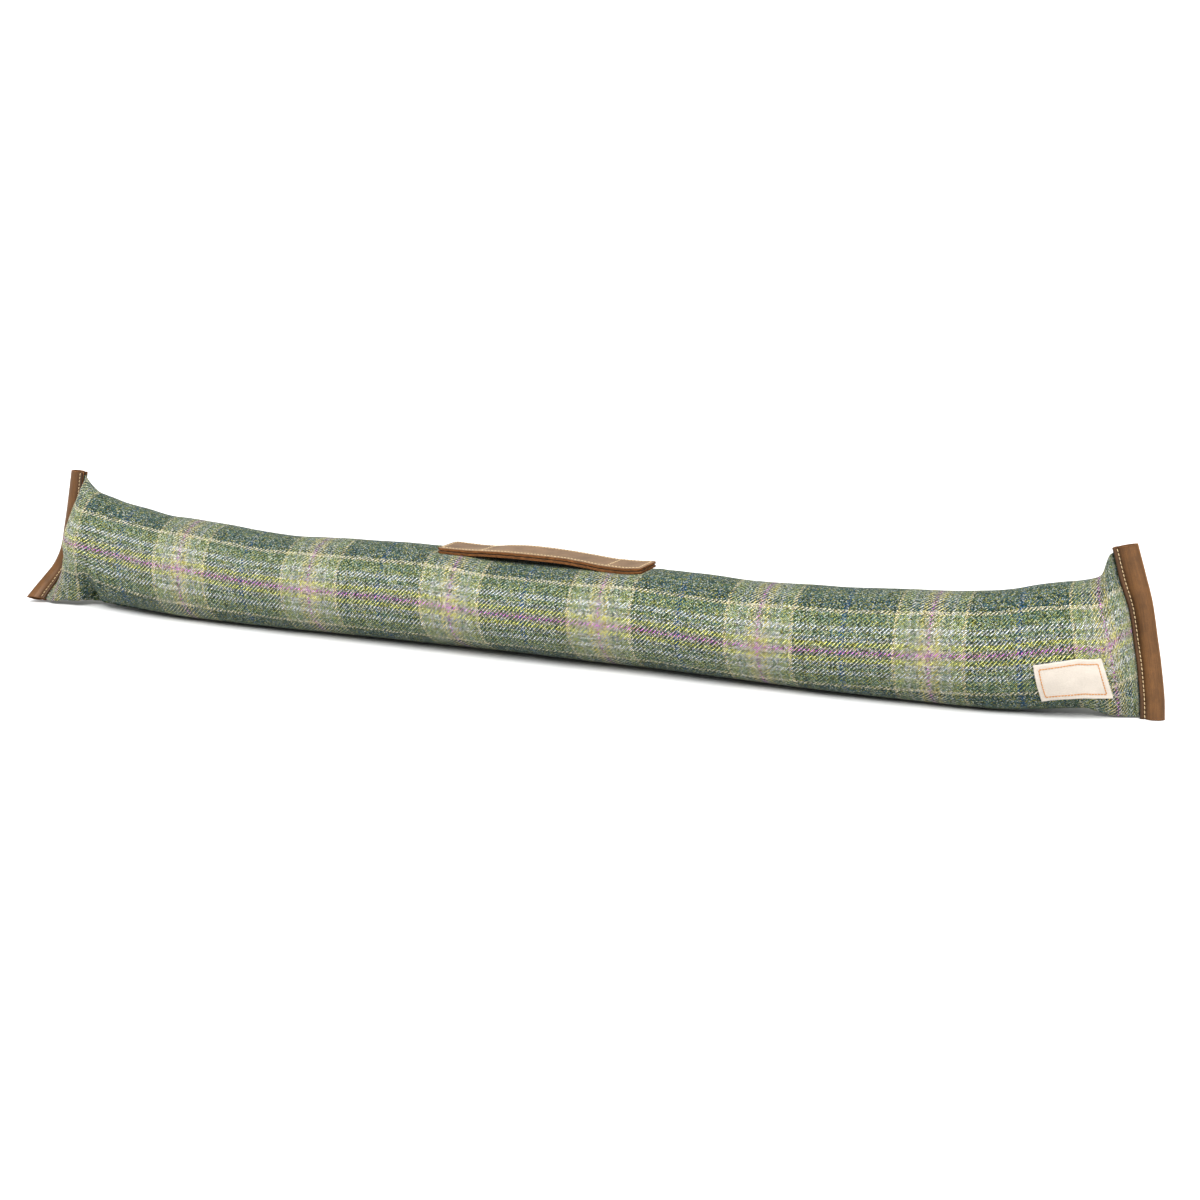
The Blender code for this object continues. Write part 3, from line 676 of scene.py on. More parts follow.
def make_body(material):
    """The tube's skin, with a flat tongue inside each strip."""
    count = BODY_GIRTH_POINTS
    angles = 2 * np.pi * np.arange(count) / count
    rings, places = [], []
    tongue = (SEAM_TONGUE, SEAM_TONGUE / 2, 0.0)
    for reach in tongue:
        rings.append(tongue_ring(SEAMS["left"], angles, reach))
        places.append(PLACES[0] - reach - TONGUE_PARTING)
    for x in body_places():
        ring = body_ring(x, angles)
        rings.append(ring + crumple(ring, x, angles))
        places.append(x)
    for reach in tongue[::-1]:
        rings.append(tongue_ring(SEAMS["right"], angles, reach))
        places.append(PLACES[-1] + reach + TONGUE_PARTING)
    along = cloth_along(rings, places)
    rounds, bows = zip(*(cloth_round(ring, x) for ring, x in zip(rings, places)))
    faces, uvs = [], []
    for r in range(len(rings) - 1):
        for i in range(count):
            corners = ((r, i), (r + 1, i), (r + 1, i + 1), (r, i + 1))
            faces.append(tuple(a * count + b % count for a, b in corners))
            uvs.append([(along[a] - bows[a][b], rounds[a][b]) for a, b in corners])
    body = new_object("tweed_tube", np.concatenate(rings), faces, material, uvs)
    outward_normals(body)
    inflate(body)
    subdivide(body)
    keep_on_floor(body)
    return body


INFLATE_SHRINK = 0.0010
INFLATE_LIMIT = 0.0030
INFLATE_FRAMES = 20
INFLATE_PRESSURE = 4
# The cloth is held this near to the seams, over the floor, round the handle and round the label
HELD_SEAMS = (-0.452, 0.466)
HELD_FLOOR = 0.003
HELD_FADE = 0.010
HELD_PAST_HANDLE = 0.012
HELD_UNDER_HANDLE = 0.062
HELD_LABEL_X = 0.402
HELD_LABEL_Y = 0.010
HELD_LABEL_TOP = 0.062


def freedom(points):
    """How freely the simulation may move each point of the tube, 0 to 1."""
    x, y, z = points.T
    seam = np.clip(np.minimum(x - HELD_SEAMS[0], HELD_SEAMS[1] - x) / HELD_FADE, 0, 1)
    foot = np.clip((z - HELD_FLOOR) / HELD_FADE, 0, 1)
    near_handle = (x > HANDLE_PLACES[0] - HELD_PAST_HANDLE) & (x < HANDLE_PLACES[-1] + HELD_PAST_HANDLE)
    under_handle = near_handle & (z > HELD_UNDER_HANDLE)
    under_label = (x > HELD_LABEL_X) & (y < HELD_LABEL_Y) & (z < HELD_LABEL_TOP)
    return seam * foot * np.where(under_handle | under_label, 0.0, 1.0)


def inflate(body):
    """Blow the cloth up from slightly inside its shape. No point moves further than the limit."""
    trial = body.copy()
    trial.data = body.data.copy()
    scene = bpy.context.scene
    scene.collection.objects.link(trial)
    start = np.array([v.co for v in trial.data.vertices])
    outward = np.array([v.normal for v in trial.data.vertices])
    free = freedom(start)
    group = trial.vertex_groups.new(name="held")
    for i in np.nonzero(free < 0.999)[0]:
        group.add([int(i)], float(1 - free[i]), "REPLACE")
    shrunk = start - outward * (INFLATE_SHRINK * free)[:, None]
    for vertex, place in zip(trial.data.vertices, shrunk):
        vertex.co = place
    cloth = trial.modifiers.new("inflate", "CLOTH")
    settings = cloth.settings
    settings.vertex_group_mass = "held"
    settings.effector_weights.gravity = 0
    settings.use_pressure = True
    settings.uniform_pressure_force = INFLATE_PRESSURE
    settings.tension_stiffness = settings.compression_stiffness = 12
    settings.shear_stiffness = 4
    settings.bending_stiffness = 0.2
    settings.quality = 5
    cloth.collision_settings.use_collision = False
    cloth.collision_settings.use_self_collision = False
    cloth.point_cache.frame_end = INFLATE_FRAMES
    for step in range(1, INFLATE_FRAMES + 1):
        scene.frame_set(step)
    blown = trial.evaluated_get(bpy.context.evaluated_depsgraph_get())
    moved = np.array([v.co for v in blown.to_mesh().vertices]) - start
    blown.to_mesh_clear()
    length = np.linalg.norm(moved, axis=1)
    moved *= (free * np.minimum(1, INFLATE_LIMIT / np.maximum(length, 1e-9)))[:, None]
    for vertex, place in zip(body.data.vertices, start + moved):
        vertex.co = place
    mesh = trial.data
    bpy.data.objects.remove(trial)
    bpy.data.meshes.remove(mesh)
    scene.frame_set(1)


def subdivide(obj):
    """One level of subdivision, applied."""
    modifier = obj.modifiers.new("subdivision", "SUBSURF")
    modifier.levels = modifier.render_levels = 1
    bpy.context.view_layer.update()
    graph = bpy.context.evaluated_depsgraph_get()
    smoother = obj.evaluated_get(graph)
    mesh = bpy.data.meshes.new_from_object(smoother, preserve_all_data_layers=True, depsgraph=graph)
    obj.modifiers.clear()
    old = obj.data
    obj.data = mesh
    bpy.data.meshes.remove(old)


def keep_on_floor(obj):
    for vertex in obj.data.vertices:
        vertex.co.z = max(vertex.co.z, 0.0)


# Leather and thread
# Share across the strip from its free edge to its fold, and how dark or how much lighter the leather is from
# there. The darkening is painted shade in the crease along the stitches and towards the fold, and a darker
# flange beside the free edge
CREASE_SHADE = ((0.0, 1.0), (0.10, 0.55), (0.19, 0.8), (0.26, 0.35), (0.42, 0.0), (0.80, 0.0), (0.95, 0.25))
# Lighter rim along the fold
FOLD_RIM = ((0.0, 0.0), (0.955, 0.0), (0.985, 1.0))


def leather_material(name, face, edge, crease_shade_colour, grain, rim_share):
    """Soft leather. The strip map's x is the share across from the free edge, its y metres along."""
    n = Nodes(name)
    where = n.place()
    across, along, _ = n.add("ShaderNodeSeparateXYZ", Vector=n.map("strip")).outputs
    cells = n.add("ShaderNodeTexVoronoi", {"feature": "SMOOTH_F1"}, Vector=where, Scale=grain, Smoothness=0.6)
    fine = n.noise(where, grain * 3.2, 3.0, 0.6)
    streaks = n.noise(n.vector(n.times(across, 16.0), n.times(along, 55.0), 0.0), 1.0, 4.0, 0.65)
    tone = n.span(n.noise(where, 38.0, 4.0, 0.6), 0.32, 0.68, 0.74, 1.20)
    tone = n.times(tone, n.span(n.noise(where, 130.0, 3.0, 0.6), 0.3, 0.7, 0.88, 1.12))
    tone = n.times(tone, n.span(fine, 0.3, 0.7, 0.80, 1.16))
    tone = n.times(tone, n.span(streaks, 0.32, 0.68, 0.80, 1.16))
    # Painted shade in the creases along the stitches and towards the fold, and a darker flange beside the
    # free edge
    crease_shade = n.ramp(across, [(place, grey(value)) for place, value in CREASE_SHADE])
    rim = n.ramp(across, [(place, grey(value)) for place, value in FOLD_RIM])
    colour = n.mix(n.times(crease_shade, 0.75), n.shaded(face, tone), crease_shade_colour)
    # Lighter colour along the fold
    colour = n.mix(n.times(rim, rim_share), colour, edge)
    normal = n.bump(n.math("ADD", n.times(cells.outputs["Distance"], 0.9), n.times(fine, 0.4)), 0.00010, 0.7)
    normal = n.bump(n.noise(where, 210.0, 4.0, 0.55), 0.0006, 0.35, normal)
    rough = n.span(fine, 0.3, 0.7, 0.50, 0.68)
    return n.finish(colour, rough, normal, specular=0.4, sheen=0.08, sheen_rough=0.4)


def raw_edge_material(name, low, high):
    """Cut edge of leather: fibres in bands."""
    n = Nodes(name)
    where = n.place()
    stretched = n.add("ShaderNodeVectorMath", {"operation": "MULTIPLY"})
    n.put(stretched.inputs[0], where)
    n.put(stretched.inputs[1], (300.0, 300.0, 1500.0))
    fibres = n.noise(stretched.outputs[0], 1.0, 4.0, 0.7)
    colour = n.ramp(fibres, [(0.30, low), (0.62, high)])
    colour = n.shaded(colour, n.span(n.noise(where, 260.0, 2.0, 0.5), 0.3, 0.7, 0.72, 1.15))
    return n.finish(colour, 0.85, n.bump(fibres, 0.0004, 0.8), specular=0.2)


def thread_material(name, colour, shade):
    n = Nodes(name)
    where = n.place()
    waves = n.add("ShaderNodeTexWave", {"bands_direction": "DIAGONAL"}, Vector=where, Scale=900.0)
    waves.inputs["Distortion"].default_value = 1.5
    waves.inputs["Detail"].default_value = 1.0
    twist = waves.outputs["Fac"]
    spots = n.span(n.noise(where, 700.0, 2.0, 0.5), 0.3, 0.7, 0.6, 1.0)
    tint = n.mix(n.times(twist, spots), shade, colour)
    return n.finish(tint, 0.7, n.bump(twist, 0.00012, 0.8), sheen=0.2, specular=0.3)


# Stitches
# Share of the stitch's length, lift in radii and share of the radius at each ring of a stitch
STITCH_RINGS = (
    (-0.50, -0.90, 0.45),
    (-0.40, -0.10, 0.85),
    (-0.18, 0.42, 1.00),
    (0.18, 0.42, 1.00),
    (0.40, -0.10, 0.85),
    (0.50, -0.90, 0.45),
)
STITCH_SIDES = 6


def stitch_parts(centre, direction, up, length, radius):
    """One stitch: a short rounded bow that dips into the material at both ends. Returns points and faces."""
    direction = direction / np.linalg.norm(direction)
    up = up - direction * np.dot(up, direction)
    up /= np.linalg.norm(up)
    side = np.cross(direction, up)
    points = []
    for along, lift, girth in STITCH_RINGS:
        middle = centre + direction * (along * length) + up * (lift * radius)
        for k in range(STITCH_SIDES):
            a = 2 * math.pi * k / STITCH_SIDES
            points.append(middle + (side * math.cos(a) + up * math.sin(a)) * radius * girth)
    faces = []
    last = (len(STITCH_RINGS) - 1) * STITCH_SIDES
    for first in range(0, last, STITCH_SIDES):
        for k in range(STITCH_SIDES):
            here, beside = first + k, first + (k + 1) % STITCH_SIDES
            faces.append((here, here + STITCH_SIDES, beside + STITCH_SIDES, beside))
    faces.append(tuple(range(STITCH_SIDES - 1, -1, -1)))
    faces.append(tuple(range(last, last + STITCH_SIDES)))
    return points, faces


def join_parts(name, parts, material):
    vertices, faces = [], []
    for points, sides in parts:
        first = len(vertices)
        vertices.extend(points)
        faces.extend(tuple(first + i for i in face) for face in sides)
    made = new_object(name, vertices, faces, material)
    outward_normals(made)
    return made


# End strips
# Share across from the free edges to the fold, and height of the outer or inner face there
STRIP_OUTER = (
    (0.000, 0.0024), (0.006, 0.0029), (0.020, 0.0031), (0.060, 0.0032), (0.120, 0.0031), (0.165, 0.0028),
    (0.195, 0.0023), (0.225, 0.0026), (0.270, 0.0034), (0.340, 0.0041), (0.430, 0.0046), (0.540, 0.0048),
    (0.650, 0.0046), (0.750, 0.0042), (0.840, 0.0035), (0.910, 0.0026), (0.960, 0.0016), (0.990, 0.0007),
    (1.000, 0.0),
)
STRIP_INNER = (
    (0.000, 0.0015), (0.100, 0.0015), (0.230, 0.0015), (0.340, 0.0022), (0.500, 0.0029), (0.650, 0.0028),
    (0.780, 0.0023), (0.860, 0.0015), (0.905, 0.0),
)
STRIP_STEPS = 96
STRIP_PUFF_SHARE = 0.10
STRIP_EDGE_WAVE = 0.0004
# Dimples under the stitches
STRIP_DIMPLE = 0.00025
STRIP_STITCH_PITCH = 0.0031
STRIP_STITCH_LENGTH = 0.00235
STRIP_STITCH_RADIUS = 0.00036
STRIP_STITCH_HEIGHT = 0.00255
STRIP_STITCH_TOP = 0.0024
STRIP_STITCH_FOOT = 0.0016
STITCH_ACROSS = 0.195


def seam_axes(seam, share):
    """Free edge, direction across, facing to the front and the strip's width at one place."""
    width = float(seam.at(share, "width")) - GAP
    return seam.at(share, "edge"), seam.at(share, "across"), seam.at(share, "facing"), width


def strip_section(seam, share, outline, outer_count, seed):
    """Points of the strip's outline at one place, uneven from place to place."""
    edge, across, facing, width = seam_axes(seam, share)
    metres = float(seam.at(share, "length"))
    puff = 1 + STRIP_PUFF_SHARE * noise.noise(Vector((metres * 42, seed, 0)))
    wave = STRIP_EDGE_WAVE * noise.noise(Vector((metres * 60, seed + 5, 0)))
    pull = STRIP_DIMPLE * math.cos(metres / STRIP_STITCH_PITCH * 2 * math.pi)
    points = []
    for k, (a, height) in enumerate(outline):
        lift = height * (puff if 0.25 < a < 1.0 else 1.0)
        if k < outer_count and abs(a - STITCH_ACROSS) < 0.05:
            lift += math.copysign(pull, -height)
        shift = wave if a < 0.05 else 0.0
        point = edge + across * (GAP + width * a + shift) + facing * lift
        point[2] = max(point[2], 0.0)
        points.append(point)
    return points


def strip_end_faces(size, outer_count):
    """Faces that close the leather's thickness at an open end of the strip."""
    outer_last, inner_last = len(STRIP_OUTER) - 1, len(STRIP_INNER) - 1
    faces = []
    for k in range(outer_last):
        near, far = round(k / outer_last * inner_last), round((k + 1) / outer_last * inner_last)
        back = outer_count - 1 - k
        faces.append((k, k + 1, size - 1 - far, size - 1 - near))
        faces.append((back, back - 1, outer_count + far, outer_count + near))
    return [tuple(dict.fromkeys(face)) for face in faces]


def make_strip(name, seam, seed, face_material, edge_material):
    """Folded strip with a puffed fold, cut free edges and open ends."""
    outer = list(STRIP_OUTER) + [(a, -h) for a, h in STRIP_OUTER[-2::-1]]
    outline = outer + [(a, -h) for a, h in STRIP_INNER[:-1]] + list(STRIP_INNER[::-1])
    size, outer_count = len(outline), len(outer)
    vertices, faces, uvs, slots = [], [], [], []
    for i in range(STRIP_STEPS + 1):
        vertices += strip_section(seam, i / STRIP_STEPS, outline, outer_count, seed)
    for i in range(STRIP_STEPS):
        here, after = (float(seam.at((i + step) / STRIP_STEPS, "length")) for step in (0, 1))
        for k in range(size):
            j = (k + 1) % size
            a, b = outline[k][0], outline[j][0]
            faces.append((i * size + k, (i + 1) * size + k, (i + 1) * size + j, i * size + j))
            uvs.append(((a, here), (a, after), (b, after), (b, here)))
            slots.append(1 if k in (outer_count - 1, size - 1) else 0)
    for first in (0, STRIP_STEPS * size):
        for face in strip_end_faces(size, outer_count):
            faces.append(tuple(first + corner for corner in face))
            uvs.append(((0.5, 0.0),) * len(face))
            slots.append(1)
    strip = new_object(name, vertices, faces, face_material, uvs, "strip")
    strip.data.materials.append(edge_material)
    strip.data.polygons.foreach_set("material_index", slots)
    outward_normals(strip)
    strip.data.set_sharp_from_angle(angle=math.radians(50))
    return strip


def strip_stitches(name, seam, material):
    """A row of stitches on each face of the strip, beside its free edges."""
    parts = []
    length = float(seam.length[-1])
    for side in (1, -1):
        place = STRIP_STITCH_TOP
        while place < length - STRIP_STITCH_FOOT:
            share = float(np.interp(place, seam.length, seam.shares))
            edge, across, facing, width = seam_axes(seam, share)
            jitter = noise.noise(Vector((place * 400, side * 3.0, 1.0)))
            centre = edge + across * (GAP + width * STITCH_ACROSS + 0.00012 * jitter)
            centre = centre + facing * side * STRIP_STITCH_HEIGHT
            slant = seam.at(share, "down") + across * (0.10 + 0.06 * jitter)
            parts.append(stitch_parts(centre, slant, facing * side, STRIP_STITCH_LENGTH, STRIP_STITCH_RADIUS))
            place += STRIP_STITCH_PITCH
    return join_parts(name, parts, material)


# Handle
HANDLE_SHOWN = 0.0018
# The visible upper layer lies this much higher than its solid
HANDLE_PARTING = 0.0003
HANDLE_CORNER = 0.0022
HANDLE_LONG_STEPS = 120
HANDLE_WIDE_STEPS = 18
# Share of the thickness, and how far the layer's ends are drawn in there
HANDLE_LEVELS = ((0.0, 0.00022), (0.12, 0.0), (0.88, 0.0), (1.0, 0.00022))
HANDLE_STITCH_INSET = 0.0030
HANDLE_STITCH_PITCH = 0.0029
HANDLE_STITCH_LENGTH = 0.00232
HANDLE_STITCH_RADIUS = 0.00040
# Front and back end of the row of stitches across each end
HANDLE_ROWS = ((-0.0400, -0.0390), (0.0700, 0.0712))
HANDLE_ROW_PAST = 0.0006


def handle_layer_points(lift, seed):
    """Levels of points through one layer, each in rows along the handle."""
    start, stop = HANDLE_PLACES[0], HANDLE_PLACES[-1]
    half = HANDLE_WIDTH / 2
    points = []
    for level, inset in HANDLE_LEVELS:
        for i in range(HANDLE_LONG_STEPS + 1):
            for j in range(HANDLE_WIDE_STEPS + 1):
                y = -half + HANDLE_WIDTH * j / HANDLE_WIDE_STEPS
                past = max(abs(y) - (half - HANDLE_CORNER), 0.0)
                cut = HANDLE_CORNER - math.sqrt(max(HANDLE_CORNER ** 2 - past ** 2, 0.0))
                x = start + (stop - start) * (i / HANDLE_LONG_STEPS)
                x = min(max(x, start + cut), stop - cut)
                x += inset * ((i == 0) - (i == HANDLE_LONG_STEPS))
                z = float(handle_underside(x, y)) + lift + HANDLE_SHOWN * level
                if level == 1.0:
                    z += 0.00012 * noise.noise(Vector((x * 90, y * 160, seed)))
                points.append((x, y, z))
    return points


def make_handle_layer(name, lift, seed, face_material, edge_material):
    """One leather layer with rounded corners and cut edges."""
    long_steps, rows = HANDLE_LONG_STEPS, HANDLE_WIDE_STEPS + 1
    level_size = (long_steps + 1) * rows
    faces = []
    for first in (0, level_size * (len(HANDLE_LEVELS) - 1)):
        for i in range(long_steps):
            for j in range(rows - 1):
                corner = first + i * rows + j
                faces.append((corner, corner + rows, corner + rows + 1, corner + 1))
    slots = [0] * len(faces)
    rim = [i * rows for i in range(long_steps + 1)] + [long_steps * rows + j for j in range(1, rows)]
    rim += [i * rows + rows - 1 for i in range(long_steps - 1, -1, -1)] + list(range(rows - 2, 0, -1))
    for first in range(0, level_size * (len(HANDLE_LEVELS) - 1), level_size):
        for a, b in zip(rim, rim[1:] + rim[:1]):
            faces.append((first + a, first + b, first + b + level_size, first + a + level_size))
            slots.append(1)
    uvs = [((0.6, 0.0),) * len(face) for face in faces]
    layer = new_object(name, handle_layer_points(lift, seed), faces, face_material, uvs, "strip")
    layer.data.materials.append(edge_material)
    layer.data.polygons.foreach_set("material_index", slots)
    outward_normals(layer)
    layer.data.set_sharp_from_angle(angle=math.radians(45))
    return layer


def handle_stitches(material):
    """Stitches round the edge of the top layer, and a row across each end."""
    top = HANDLE_LAYER + HANDLE_SHOWN + GAP + HANDLE_PARTING
    half = HANDLE_WIDTH / 2 - HANDLE_STITCH_INSET
    start, stop = HANDLE_PLACES[0] + HANDLE_STITCH_INSET, HANDLE_PLACES[-1] - HANDLE_STITCH_INSET
    corners = [(start, -half), (stop, -half), (stop, half), (start, half)]
    runs = list(zip(corners, corners[1:] + corners[:1]))
    reach = half + HANDLE_ROW_PAST
    runs += [((front, -reach), (back, reach)) for front, back in HANDLE_ROWS]

    def on_top(x, y):
        return np.array((x, y, float(handle_underside(x, y)) + top))

    parts = []
    up = np.array((0, 0, 1.0))
    for (x0, y0), (x1, y1) in runs:
        length = math.hypot(x1 - x0, y1 - y0)
        count = int(length / HANDLE_STITCH_PITCH)
        for i in range(count):
            t = (i + 0.5) / count
            jitter = noise.noise(Vector((t * 300, x0 * 50, y0 * 90)))
            x, y = x0 + (x1 - x0) * t, y0 + (y1 - y0) * t + 0.0001 * jitter
            run = np.array(((x1 - x0) / length, (y1 - y0) / length, 0.0))
            if abs(run[0]) > 0.5:
                run = (on_top(x + 0.001, y) - on_top(x - 0.001, y)) * math.copysign(1, run[0])
            parts.append(stitch_parts(on_top(x, y), run, up, HANDLE_STITCH_LENGTH, HANDLE_STITCH_RADIUS))
    return join_parts("handle_stitching", parts, material)


# Label
LABEL_LENGTH = 0.050
LABEL_HEIGHT = 0.0320
LABEL_CLOTH = 0.0007
LABEL_HEM_WIDTH = 0.0022
LABEL_HEM_LIFT = 0.00022
LABEL_FRAY = 0.00018
LABEL_COLUMNS = 60
LABEL_ROWS = 38
# Left edge, distance of the middle down from the tube's front-most line, and turn
LABEL_START = 0.4115
LABEL_DROP = 0.0205
LABEL_TURN = math.radians(4.0)
# The lower right corner stands off the tube
LABEL_HANG = 0.0035
# Cloth beyond the label at both its ends that is measured too
LABEL_MARGIN = 0.005
WALK_STEP = 0.001
WEAVE_PITCH = 0.00052
BORDER_INSET = 0.0037
BORDER_PITCH = 0.0021
BORDER_STITCH_LENGTH = 0.0020
BORDER_STITCH_RADIUS = 0.00038
BORDER_LIFT = 0.00078


class Skin:
    """Front skin near the label: place along the tube and distance down its girth to a point."""

    LOW, HIGH, STEP = 0.400, 0.4660, 0.0005
    ANGLES = 2 * np.pi * np.arange(360) / 360
    # Degrees round the tube: part of the girth that is kept, and the front-most line
    TOP, MIDDLE, FOOT = 120, 180, 300
    REACH = 0.003

    def __init__(self):
        self.places = np.arange(self.LOW, self.HIGH, self.STEP)
        self.rings = []
        for x in self.places:
            ring = body_ring(x, self.ANGLES)
            front = (ring + crumple(ring, x, self.ANGLES))[self.TOP:self.FOOT]
            walked = np.concatenate([[0], np.cumsum(np.linalg.norm(np.diff(front, axis=0), axis=1))])
            self.rings.append((walked - walked[self.MIDDLE - self.TOP], front))

    def on_ring(self, index, drop):
        walked, front = self.rings[index]
        return np.array([np.interp(drop, walked, front[:, k]) for k in range(3)])

    def at(self, x, drop):
        position = np.interp(x, self.places, np.arange(len(self.places)))
        i = min(int(position), len(self.places) - 2)
        t = position - i
        return self.on_ring(i, drop) * (1 - t) + self.on_ring(i + 1, drop) * t

    def over(self, x, drop, lift):
        """Point lifted off the skin, and the way out there."""
        along = self.at(x + self.REACH, drop) - self.at(x - self.REACH, drop)
        down = self.at(x, drop + self.REACH) - self.at(x, drop - self.REACH)
        outward = np.cross(along, down)
        outward *= math.copysign(1 / np.linalg.norm(outward), -outward[1])
        return self.at(x, drop) + outward * lift, outward


SKIN = Skin()


def label_places():
    """Places along the tube that lie a step apart on the cloth."""
    places = [LABEL_START - LABEL_MARGIN]
    while len(places) * WALK_STEP < LABEL_LENGTH + 2 * LABEL_MARGIN:
        x = places[-1]
        stretch = np.linalg.norm(SKIN.at(x + WALK_STEP, LABEL_DROP) - SKIN.at(x, LABEL_DROP)) / WALK_STEP
        places.append(x + WALK_STEP / stretch)
    return places


LABEL_PLACES = label_places()


def label_point(along, down, lift):
    """Point over the label's cloth and the way out there, from distances along and down from its middle."""
    turned = LABEL_LENGTH / 2 + LABEL_MARGIN + along * math.cos(LABEL_TURN) + down * math.sin(LABEL_TURN)
    x = float(np.interp(turned, np.arange(len(LABEL_PLACES)) * WALK_STEP, LABEL_PLACES))
    drop = LABEL_DROP - along * math.sin(LABEL_TURN) + down * math.cos(LABEL_TURN)
    wave = 0.0005 * (1 + noise.noise(Vector((along * 70, down * 60, 4.0))))
    wave += 0.0007 * max(down / (LABEL_HEIGHT / 2), 0) ** 2 * (1 + math.sin(along * 210 + 1.0)) * 0.5
    hang = max(along / LABEL_LENGTH + 0.5, 0) * max(down / LABEL_HEIGHT + 0.5, 0) ** 1.5
    return SKIN.over(x, drop, lift + wave + LABEL_HANG * hang)


def label_material():
    n = Nodes("cream_cotton")
    cloth = n.map("cloth")
    split = n.add("ShaderNodeSeparateXYZ", Vector=cloth)
    waves = [n.math("SINE", n.times(split.outputs[k], 2 * math.pi / WEAVE_PITCH)) for k in (0, 1)]
    weave = n.times(*waves)
    soft = n.noise(cloth, 90.0, 2.0, 0.5)
    tone = n.span(n.noise(cloth, 900.0, 3.0, 0.6), 0.3, 0.7, 0.93, 1.04)
    tone = n.times(tone, n.span(soft, 0.3, 0.7, 0.96, 1.03))
    tone = n.times(tone, n.span(weave, -1.0, 1.0, 0.94, 1.03))
    normal = n.bump(soft, 0.0006, 0.4, n.bump(weave, 0.00012, 0.6))
    return n.finish(n.shaded(srgb(198, 189, 178), tone), 0.9, normal, sheen=0.2, specular=0.2)


def make_label(material):
    """Rectangle of cotton with a turned edge, laid over the tube's skin."""
    columns, rows = LABEL_COLUMNS, LABEL_ROWS
    vertices, faces = [], []
    for lift in (0.0, LABEL_CLOTH):
        for r in range(rows + 1):
            for c in range(columns + 1):
                along = LABEL_LENGTH * (c / columns - 0.5)
                down = LABEL_HEIGHT * (r / rows - 0.5)
                edge = min(LABEL_LENGTH / 2 - abs(along), LABEL_HEIGHT / 2 - abs(down))
                hem = LABEL_HEM_LIFT if edge < LABEL_HEM_WIDTH and lift > 0 else 0.0
                fray = LABEL_FRAY * noise.noise(Vector((along * 900, down * 900, lift * 1000)))
                along += fray if c in (0, columns) else 0.0
                down += fray if r in (0, rows) else 0.0
                vertices.append(label_point(along, down, lift + hem)[0])
    wide = columns + 1
    layer = wide * (rows + 1)
    for first in (0, layer):
        for r in range(rows):
            for c in range(columns):
                corner = first + r * wide + c
                faces.append((corner, corner + 1, corner + wide + 1, corner + wide))
    rim = list(range(wide)) + [r * wide + columns for r in range(1, rows + 1)]
    rim += [rows * wide + c for c in range(columns - 1, -1, -1)] + [r * wide for r in range(rows - 1, 0, -1)]
    for a, b in zip(rim, rim[1:] + rim[:1]):
        faces.append((a, b, b + layer, a + layer))

    def flat_place(index):
        r, c = divmod(index % layer, wide)
        return c / columns * LABEL_LENGTH, r / rows * LABEL_HEIGHT

    uvs = [tuple(flat_place(i) for i in face) for face in faces]
    made = new_object("cotton_label", vertices, faces, material, uvs)
    outward_normals(made)
    return made


def label_border(material):
    """Orange stitched rectangle inside the label's edge."""
    half_long, half_high = LABEL_LENGTH / 2 - BORDER_INSET, LABEL_HEIGHT / 2 - BORDER_INSET
    signs = ((-1, -1), (1, -1), (1, 1), (-1, 1))
    corners = [(half_long * across, half_high * down) for across, down in signs]
    parts = []
    for (x0, y0), (x1, y1) in zip(corners, corners[1:] + corners[:1]):
        length = math.hypot(x1 - x0, y1 - y0)
        count = int(length / BORDER_PITCH)
        for i in range(count):
            t = (i + 0.5) / count
            along, down = x0 + (x1 - x0) * t, y0 + (y1 - y0) * t
            step = 0.0008 / length
            here, outward = label_point(along, down, BORDER_LIFT)
            ahead, _ = label_point(along + (x1 - x0) * step, down + (y1 - y0) * step, BORDER_LIFT)
            stitch = stitch_parts(here, ahead - here, outward, BORDER_STITCH_LENGTH, BORDER_STITCH_RADIUS)
            parts.append(stitch)
    return join_parts("label_border", parts, material)


# Build
body = make_body(cloth_material())
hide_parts("body")
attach(body, "root")

# The third colour is the painted shade in the strips' creases
brown = leather_material(
    "brown_leather", srgb(94, 64, 33), srgb(140, 100, 58), srgb(34, 22, 13), grain=520.0, rim_share=0.5
)
brown_edge = raw_edge_material("brown_leather_edge", srgb(96, 62, 36), srgb(150, 106, 68))
cream_thread = thread_material("cream_thread", srgb(226, 208, 170), srgb(170, 142, 104))
for side, seed in (("left", 3.0), ("right", 8.0)):
    strip = make_strip(f"leather_strip_{side}", SEAMS[side], seed, brown, brown_edge)
    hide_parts(f"binding_{side}")
    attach(strip, "root")
    stitches = strip_stitches(f"strip_stitching_{side}", SEAMS[side], cream_thread)
    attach(stitches, "root")

tan = leather_material(
    "tan_leather", srgb(126, 102, 78), srgb(126, 102, 78), srgb(104, 82, 60), grain=620.0, rim_share=0.0
)
tan_edge = raw_edge_material("tan_leather_edge", srgb(66, 42, 22), srgb(124, 84, 50))
upper_lift = HANDLE_LAYER + GAP
HANDLE_BUILD = (
    ("handle_leather_lower", "handle_lower", 0.0, 2.0),
    ("handle_leather_upper", "handle_upper", upper_lift + HANDLE_PARTING, 2.0 + upper_lift * 1000),
)
for layer_name, node, lift, seed in HANDLE_BUILD:
    layer = make_handle_layer(layer_name, lift, seed, tan, tan_edge)
    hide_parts(node)
    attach(layer, "root")
handle_thread = handle_stitches(cream_thread)
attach(handle_thread, "root")

label = make_label(label_material())
border = label_border(thread_material("orange_thread", srgb(206, 146, 78), srgb(166, 108, 48)))
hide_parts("label")
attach(label, "root")
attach(border, "root")

# Floor, light and camera
FLOOR_WHITE = 0.82
FLOOR_REACH = 60.0
FLOOR_DROP = 0.0004
SKY = 0.42
HORIZON = 1.1
# Heights, as the sine of the angle, between which the sky changes from white to its own brightness
HORIZON_SPAN = (0.05, 0.14)


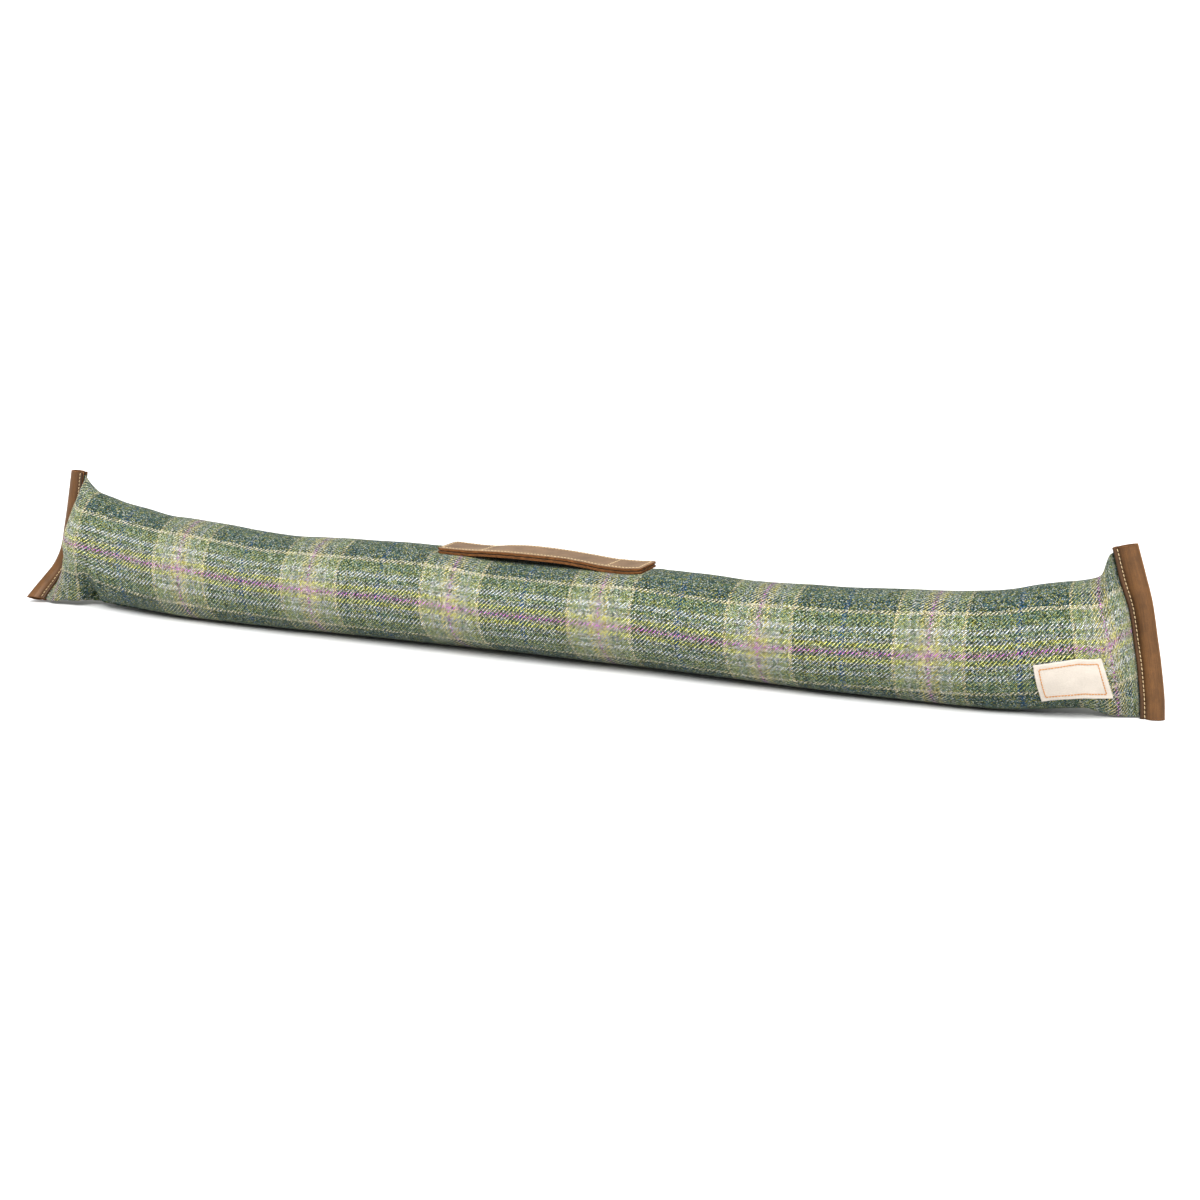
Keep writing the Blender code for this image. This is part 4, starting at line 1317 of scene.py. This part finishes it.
def make_stage():
    floor = bpy.data.objects.new("floor", bpy.data.meshes.new("floor"))
    corners = [(x * FLOOR_REACH, y * FLOOR_REACH, 0) for x, y in ((-1, -1), (1, -1), (1, 1), (-1, 1))]
    floor.data.from_pydata(corners, [], [(0, 1, 2, 3)])
    floor.location.z = -FLOOR_DROP
    floor.data.materials.append(Nodes("floor_white").finish(grey(FLOOR_WHITE), 0.9, specular=0.0))
    bpy.context.scene.collection.objects.link(floor)


def make_sun(name, turn, height, strength, softness):
    """Broad soft light. Turn from the tube's front to its right end, height and softness are in degrees."""
    light = bpy.data.lights.new(name, "SUN")
    light.energy = strength * math.pi
    light.angle = math.radians(softness)
    made = bpy.data.objects.new(name, light)
    turn, height = math.radians(turn), math.radians(height)
    level = math.cos(height)
    source = Vector((level * math.sin(turn), -level * math.cos(turn), math.sin(height)))
    made.rotation_euler = source.to_track_quat("Z", "Y").to_euler()
    bpy.context.scene.collection.objects.link(made)


def make_world():
    """Even sky that is white near the horizon."""
    world = bpy.data.worlds.new("world")
    world.use_nodes = True
    tree = world.node_tree
    place = tree.nodes.new("ShaderNodeTexCoord")
    split = tree.nodes.new("ShaderNodeSeparateXYZ")
    span = tree.nodes.new("ShaderNodeMapRange")
    for socket, value in zip(span.inputs, (0.0, *HORIZON_SPAN, HORIZON, SKY)):
        socket.default_value = value
    tree.links.new(place.outputs["Generated"], split.inputs[0])
    tree.links.new(split.outputs[2], span.inputs[0])
    tree.links.new(span.outputs[0], tree.nodes["Background"].inputs[1])
    tree.nodes["Background"].inputs[0].default_value = (1, 1, 1, 1)
    bpy.context.scene.world = world


make_stage()
make_sun("front_light", turn=24, height=44, strength=1.0, softness=34)
make_sun("top_light", turn=20, height=72, strength=0.54, softness=70)
make_world()
bpy.context.scene.view_settings.view_transform = "Standard"
bpy.context.scene.view_settings.look = "Medium High Contrast"

CAMERA_PLACE = (0.8066, -1.5722, 0.4316)
CAMERA_TURN = math.radians(25.44)
CAMERA_PITCH = math.radians(12.34)
PHOTO_FOCAL_PX = 2283.9
PHOTO_PX = 1200
camera_data = bpy.data.cameras.new("camera")
camera_data.sensor_width = 36
camera_data.lens = PHOTO_FOCAL_PX / PHOTO_PX * camera_data.sensor_width
camera_data.clip_start = 0.01
camera = bpy.data.objects.new("camera", camera_data)
bpy.context.scene.collection.objects.link(camera)
to_right = Vector((math.cos(CAMERA_TURN), math.sin(CAMERA_TURN), 0))
level_ahead = Vector((-math.sin(CAMERA_TURN), math.cos(CAMERA_TURN), 0))
ahead = level_ahead * math.cos(CAMERA_PITCH) - Vector((0, 0, 1)) * math.sin(CAMERA_PITCH)
upward = level_ahead * math.sin(CAMERA_PITCH) + Vector((0, 0, 1)) * math.cos(CAMERA_PITCH)
turned = Matrix((to_right, upward, -ahead)).transposed().to_4x4()
turned.translation = Vector(CAMERA_PLACE)
camera.matrix_world = turned
bpy.context.scene.camera = camera
